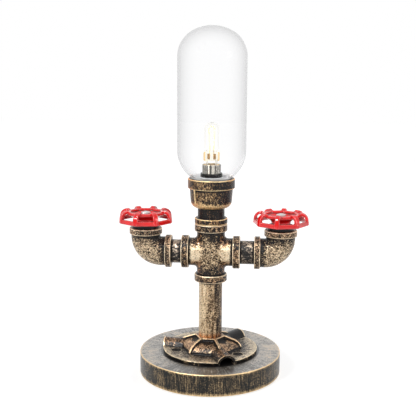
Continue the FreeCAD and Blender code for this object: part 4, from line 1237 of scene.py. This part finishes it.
def wheel():
    """One handwheel on the Z axis, its rim's underside at zero."""
    shells = [eight_sided(WHEEL_R, 3.2, 0, 4.1, 0.8), eight_sided(UPPER_R, 3.9, 7.1, 9.9, 0.8)]
    for eighth in range(8):
        spoke = slab([
            (25.3, 0.6), (24.2, 11.5, 6.2), (16.9, 11.5, 1.5), (15.0, 8.9), (15.0, 7.1),
            (17.8, 8.7, 1.0), (21.6, 8.7, 3.0), (22.5, 0.6)], 4.5, 0.9)
        shells.append(placed(spoke, turn=45 * eighth))
    shells.append(turned([
        (0, 1.3), (9.0, 1.3), (9.0, 3.1, 1.0), (14.9, 6.5), (14.9, 8.3), (9.0, 4.9, 1.0), (0, 4.9)],
        steps=64))
    return melted(joined(shells), grain=0.42, passes=4)


def nut(across_flats, low, high, bore, turn=0.0):
    """A six-sided nut with its corners turned off and a bore."""
    bm = bmesh.new()
    corner = across_flats / 3 ** 0.5 * MM
    bmesh.ops.create_cone(
        bm, cap_ends=True, cap_tris=False, segments=6, radius1=corner, radius2=corner,
        depth=(high - low) * MM)
    bmesh.ops.translate(bm, verts=bm.verts, vec=(0, 0, (high + low) / 2 * MM))
    round_edges(bm, 0.35, 30)
    bm = drilled(bm, bar(bore, low - 1, high + 1, steps=48))
    return placed(bm, turn=turn)


SQUARE_TOP = WHEEL + 4.9
NUT_LOW = SQUARE_TOP + 1.0
NUT_TOP = NUT_LOW + 3.2
THREAD_TOP = NUT_TOP + 0.6
SPINDLE_PITCH = 0.4
for hand, (arm, side) in ARM.items():
    angle = 35.0 if side > 0 else 30.0
    at = (arm, 0, 0)
    body = "wheel_" + hand
    plug = turned([
        (PLUG_BORE, ELBOW_TOP - 8), (PIPE_R, ELBOW_TOP - 8), (PIPE_R, ELBOW_TOP, 0.2),
        (PLUG_R, ELBOW_TOP, 0.3), (PLUG_R, PLUG_TOP, 1.2), (PLUG_BORE, PLUG_TOP, 0.3)],
        closed=True)
    show("plug_turned_" + hand, placed(plug, at=at), gloss_black, ["elbow_plug_" + hand])
    show("enamel_wheel_" + hand, placed(wheel(), turn=angle, at=(arm, 0, WHEEL)), red_enamel,
         ["handwheel_" + hand], body=body)
    thread = [
        (0, ELBOW_TOP - 10), (COLLAR_R, ELBOW_TOP - 10, 0.3), (COLLAR_R, ELBOW_TOP - 8.2, 0.3),
        (3.0, ELBOW_TOP - 8.2), (3.0, PLUG_TOP + 0.15), (SPINDLE_R, PLUG_TOP + 0.15),
        (SPINDLE_R, WHEEL + 1.3), (THREAD_R, WHEEL + 1.3), (THREAD_R, NUT_LOW)]
    level = NUT_LOW
    while level < THREAD_TOP - 0.5:
        thread += [(THREAD_R + 0.1, level + SPINDLE_PITCH / 2),
                   (THREAD_R - 0.2, level + SPINDLE_PITCH)]
        level += SPINDLE_PITCH
    thread += [(THREAD_R, THREAD_TOP - 0.3, 0.2), (1.9, THREAD_TOP), (0, THREAD_TOP)]
    washer = turned([
        (WASHER_BORE, SQUARE_TOP, 0.15), (WASHER_R, SQUARE_TOP, 0.3), (WASHER_R, NUT_LOW, 0.3),
        (WASHER_BORE, NUT_LOW, 0.15)], closed=True)
    for name, bm, node in (
            ("spindle_turned_", turned(thread, steps=48), "spindle_"),
            ("washer_turned_", washer, "wheel_washer_"),
            ("nut_bright_", nut(NUT_FLATS, NUT_LOW, NUT_TOP, WASHER_BORE, angle), "wheel_nut_")):
        show(name + hand, placed(bm, at=at), bright_steel, [node + hand], body=body)

# %% [markdown]
# The lamp holder is a threaded metal sleeve with a ceramic insert. Its thread is a real one on the
# lamp and rings here: at this pitch the eye can't tell them apart, and rings turn with the outline.

# %% Lamp holder
SLEEVE_TOP = TOP + 12.5
SLEEVE_LOW = PLATE - 4.0
CERAMIC_TOP = SLEEVE_TOP - 0.3
CERAMIC_LOW = CERAMIC_TOP - 18
SLEEVE_R, SLEEVE_BORE, FLANGED_R, SEAT_R, CERAMIC_R = 8.55, 6.15, 11.0, 7.35, 7.3
PITCH = 1.15
LOCK_FLATS, LOCK_BORE = 20.0, 8.6
profile = [
    (SLEEVE_BORE, SLEEVE_LOW), (SLEEVE_R, SLEEVE_LOW, 0.2), (SLEEVE_R, PLATE - 2.5),
    (FLANGED_R, PLATE - 2.5, 0.3), (FLANGED_R, PLATE), (8.5, PLATE), (8.5, PLATE + 2)]
level = PLATE + 2.2
while level < SLEEVE_TOP - 1.4:
    profile += [(8.0, level), (SLEEVE_R, level + PITCH * 0.35), (SLEEVE_R, level + PITCH * 0.6)]
    level += PITCH
profile += [(8.1, SLEEVE_TOP - 0.9), (8.45, SLEEVE_TOP - 0.6), (8.45, SLEEVE_TOP, 0.25),
            (SEAT_R, SLEEVE_TOP, 0.2), (SEAT_R, CERAMIC_LOW), (SLEEVE_BORE, CERAMIC_LOW)]
show("sleeve_threaded", turned(profile, closed=True, run=0.5), sleeve_steel, ["holder_sleeve"])

insert = turned([(0, CERAMIC_LOW), (CERAMIC_R, CERAMIC_LOW), (CERAMIC_R, CERAMIC_TOP, 0.4),
                 (0, CERAMIC_TOP)])
for x in (-4.5, 4.5):
    pocket = slab(oblong(x - 1.65, x + 1.65, CERAMIC_TOP - 8, CERAMIC_TOP + 1), 1.9, 0.02)
    insert = drilled(insert, pocket)
# Painted shade on the middle of the top and in the pin pockets.
choose(insert, lambda middle, normal: from_axis(middle) < 5.4 and middle.z > CERAMIC_LOW + 1)
show("ceramic_insert", insert, [ceramic, ceramic_in_shade], ["holder_ceramic"])
lock = nut(LOCK_FLATS, PLATE + 2.0, PLATE + 5.2, LOCK_BORE)
show("lock_nut_flat", lock, bright_steel, ["holder_lock_nut"])

# %% [markdown]
# The glass shade is blown: a long tube with a round crown, and a rounded foot with a hole. Its
# outside is a chain of arcs. Each arc is one vertex spun about its own centre, so they meet smoothly.
# The turned skin is then given the wall's thickness inwards.

# %% Glass shade
SHADE_R, WALL, SHADE_FOOT, SHADE_TOP = 30.8, 1.8, TOP - 0.4, 316.1
FOOT_R, CROWN_R, KNUCKLE_R = 16.8, 36.5, 26.0
RING_HOLE, RING_BORE, RING_R, WASHER_REACH = 10.0, 8.65, 9.9, 14.5


def arc(bm, start, centre, angle, steps):
    """Extends a wire from its last vertex along an arc in the XZ plane. Gives the new last one."""
    made = bmesh.ops.spin(
        bm, geom=[start], cent=(centre[0] * MM, 0, centre[1] * MM), axis=(0, 1, 0),
        angle=angle, steps=steps, use_duplicate=False)
    return of_kind(made["geom_last"], bmesh.types.BMVert)[0]


def straight(bm, start, x, z, steps):
    """Extends a wire with a straight run to a point, in steps. Gives the new last vertex."""
    aim = Vector((x * MM, 0, z * MM)) - start.co
    for _ in range(steps):
        following = bm.verts.new(start.co + aim / steps)
        bm.edges.new((start, following))
        start = following
    return start


bowl_z = SHADE_FOOT + math.sqrt(SHADE_R ** 2 - FOOT_R ** 2)
crown_z = SHADE_TOP - CROWN_R
offset = SHADE_R - KNUCKLE_R
rise = math.sqrt((CROWN_R - KNUCKLE_R) ** 2 - offset ** 2)
knuckle_z = crown_z + rise
lean = math.atan2(offset, rise)
glass = bmesh.new()
last = glass.verts.new((RING_HOLE * MM, 0, SHADE_FOOT * MM))
last = straight(glass, last, FOOT_R, SHADE_FOOT, 4)
bowl_angle = math.asin((bowl_z - SHADE_FOOT) / SHADE_R)
last = arc(glass, last, (0, bowl_z), -bowl_angle, 32)
last = straight(glass, last, SHADE_R, knuckle_z, 40)
last = arc(glass, last, (offset, knuckle_z), -(math.pi / 2 - lean), 28)
last = arc(glass, last, (0, crown_z), -lean, 20)
spun(glass, 128, gap=1e-6)


def glass_side(middle, normal):
    """Clear outside, ground under the foot, and inside a finish without tint."""
    if middle.z < SHADE_FOOT + 2.5:
        return 1
    core = Vector((0, 0, max(bowl_z, min(crown_z, middle.z))))
    return 2 if normal.dot(middle - core) < 0 else 0


blown = walled(glass, WALL, even=True)
choose(blown, glass_side)
show("shade_blown", blown, [shade_glass, ground_foot, shade_inside], ["glass_shade"], body="shade",
     wear=False)

collar = turned([
    (RING_BORE, PLATE + 5.3, 0.2), (RING_R, PLATE + 5.3, 0.3), (RING_R, SHADE_FOOT - 2.0),
    (WASHER_REACH, SHADE_FOOT - 2.0, 0.5), (WASHER_REACH, SHADE_FOOT), (RING_R, SHADE_FOOT),
    (RING_R, SHADE_FOOT + 5.1, 0.4), (RING_BORE, SHADE_FOOT + 5.1, 0.2)], closed=True, run=0.7)
choose(collar, lambda middle, normal: from_axis(middle) > RING_R + 0.4)
show("shade_collar", collar, [gloss_black, washer_with_reflection], ["shade_ring"], body="shade")

# %% [markdown]
# The small lamp is a clear quartz capsule with a flat pinched foot. In it a lit filament stands as
# a tall arch on two wires. The quartz is as thin as the real one's, so that it bends little light.

# %% Capsule lamp
PINCH_LOW = SLEEVE_TOP + 3.2
PINCH_TOP = PINCH_LOW + 8.0
CAPSULE_TOP = PINCH_TOP + 26.0
CAPSULE_R, CAPSULE_WALL, PINCH_HALF, PINCH_THICK, WIRE_R = 6.7, 0.9, 7.2, 5.2, 0.8
quartz = turned([
    (0, PINCH_TOP + 0.05), (4.7, PINCH_TOP + 0.05, 0.8), (CAPSULE_R, PINCH_TOP + 3.0, 1.5),
    (CAPSULE_R, CAPSULE_TOP, 5.4), (1.4, CAPSULE_TOP, 0.8), (1.2, CAPSULE_TOP + 1.8, 0.6),
    (0, CAPSULE_TOP + 1.8)], run=0.8, steps=72)
thin = walled(quartz, CAPSULE_WALL)
pinch = slab(oblong(-PINCH_HALF, PINCH_HALF, PINCH_LOW, PINCH_TOP), PINCH_THICK, 1.1)
thin_faces = len(thin.faces)
capsule = joined([thin, pinch])
for place, face in enumerate(capsule.faces):
    face.material_index = 1 if place >= thin_faces else 0
show("capsule_quartz", capsule, [lamp_glass, pinch_warm_glint], ["lamp_envelope"], body="bulb",
     wear=False)

FILAMENT_FOOT = PINCH_TOP + 2.0
FILAMENT_TOP = FILAMENT_FOOT + 20.5
arch = bpy.data.curves.new("arch", "CURVE")
arch.dimensions = "3D"
arch.bevel_depth = WIRE_R * MM
arch.bevel_resolution = 3
arch.use_fill_caps = True
line = arch.splines.new("NURBS")
right = [(1.8, FILAMENT_FOOT), (2.0, FILAMENT_FOOT + 8), (2.4, FILAMENT_TOP - 4),
         (2.5, FILAMENT_TOP)]
route = [(-x, z) for x, z in right] + [(0, FILAMENT_TOP + 0.5)] + right[::-1]
line.points.add(len(route) - 1)
for point, (x, z) in zip(line.points, route):
    point.co = (x * MM, 0, z * MM, 1)
line.order_u = 3
line.use_endpoint_u = True
line.resolution_u = 8
bent = bpy.data.objects.new("bent", arch)
bpy.context.scene.collection.objects.link(bent)
smooth = bent.evaluated_get(bpy.context.evaluated_depsgraph_get())
tube = bmesh.new()
tube.from_mesh(bpy.data.meshes.new_from_object(smooth))
bpy.data.objects.remove(bent)
show("filament_arch", tube, filament_glow, ["lamp_filament"], body="bulb", wear=False)

# %% [markdown]
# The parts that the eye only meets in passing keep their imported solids, with finishes of their own:
# the pad, the terminal block, the plate in the coupling's mouth, the contacts, leads, foils and pins.

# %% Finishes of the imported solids
PACKED = {
    "base_pad": rubber_black, "terminal_block": terminal_white, "terminal_screws": brass,
    "holder_plate": plate_with_reflection, "holder_contacts": brass, "holder_leads": lead_cream,
    "lamp_wires": wire_painted_glow, "lamp_foils": foil_dark, "lamp_pins": bright_steel}
for node, finish in PACKED.items():
    for place in bpy.data.objects[node].material_slots:
        place.material = finish
print(len(PACKED), "packed solids dressed")
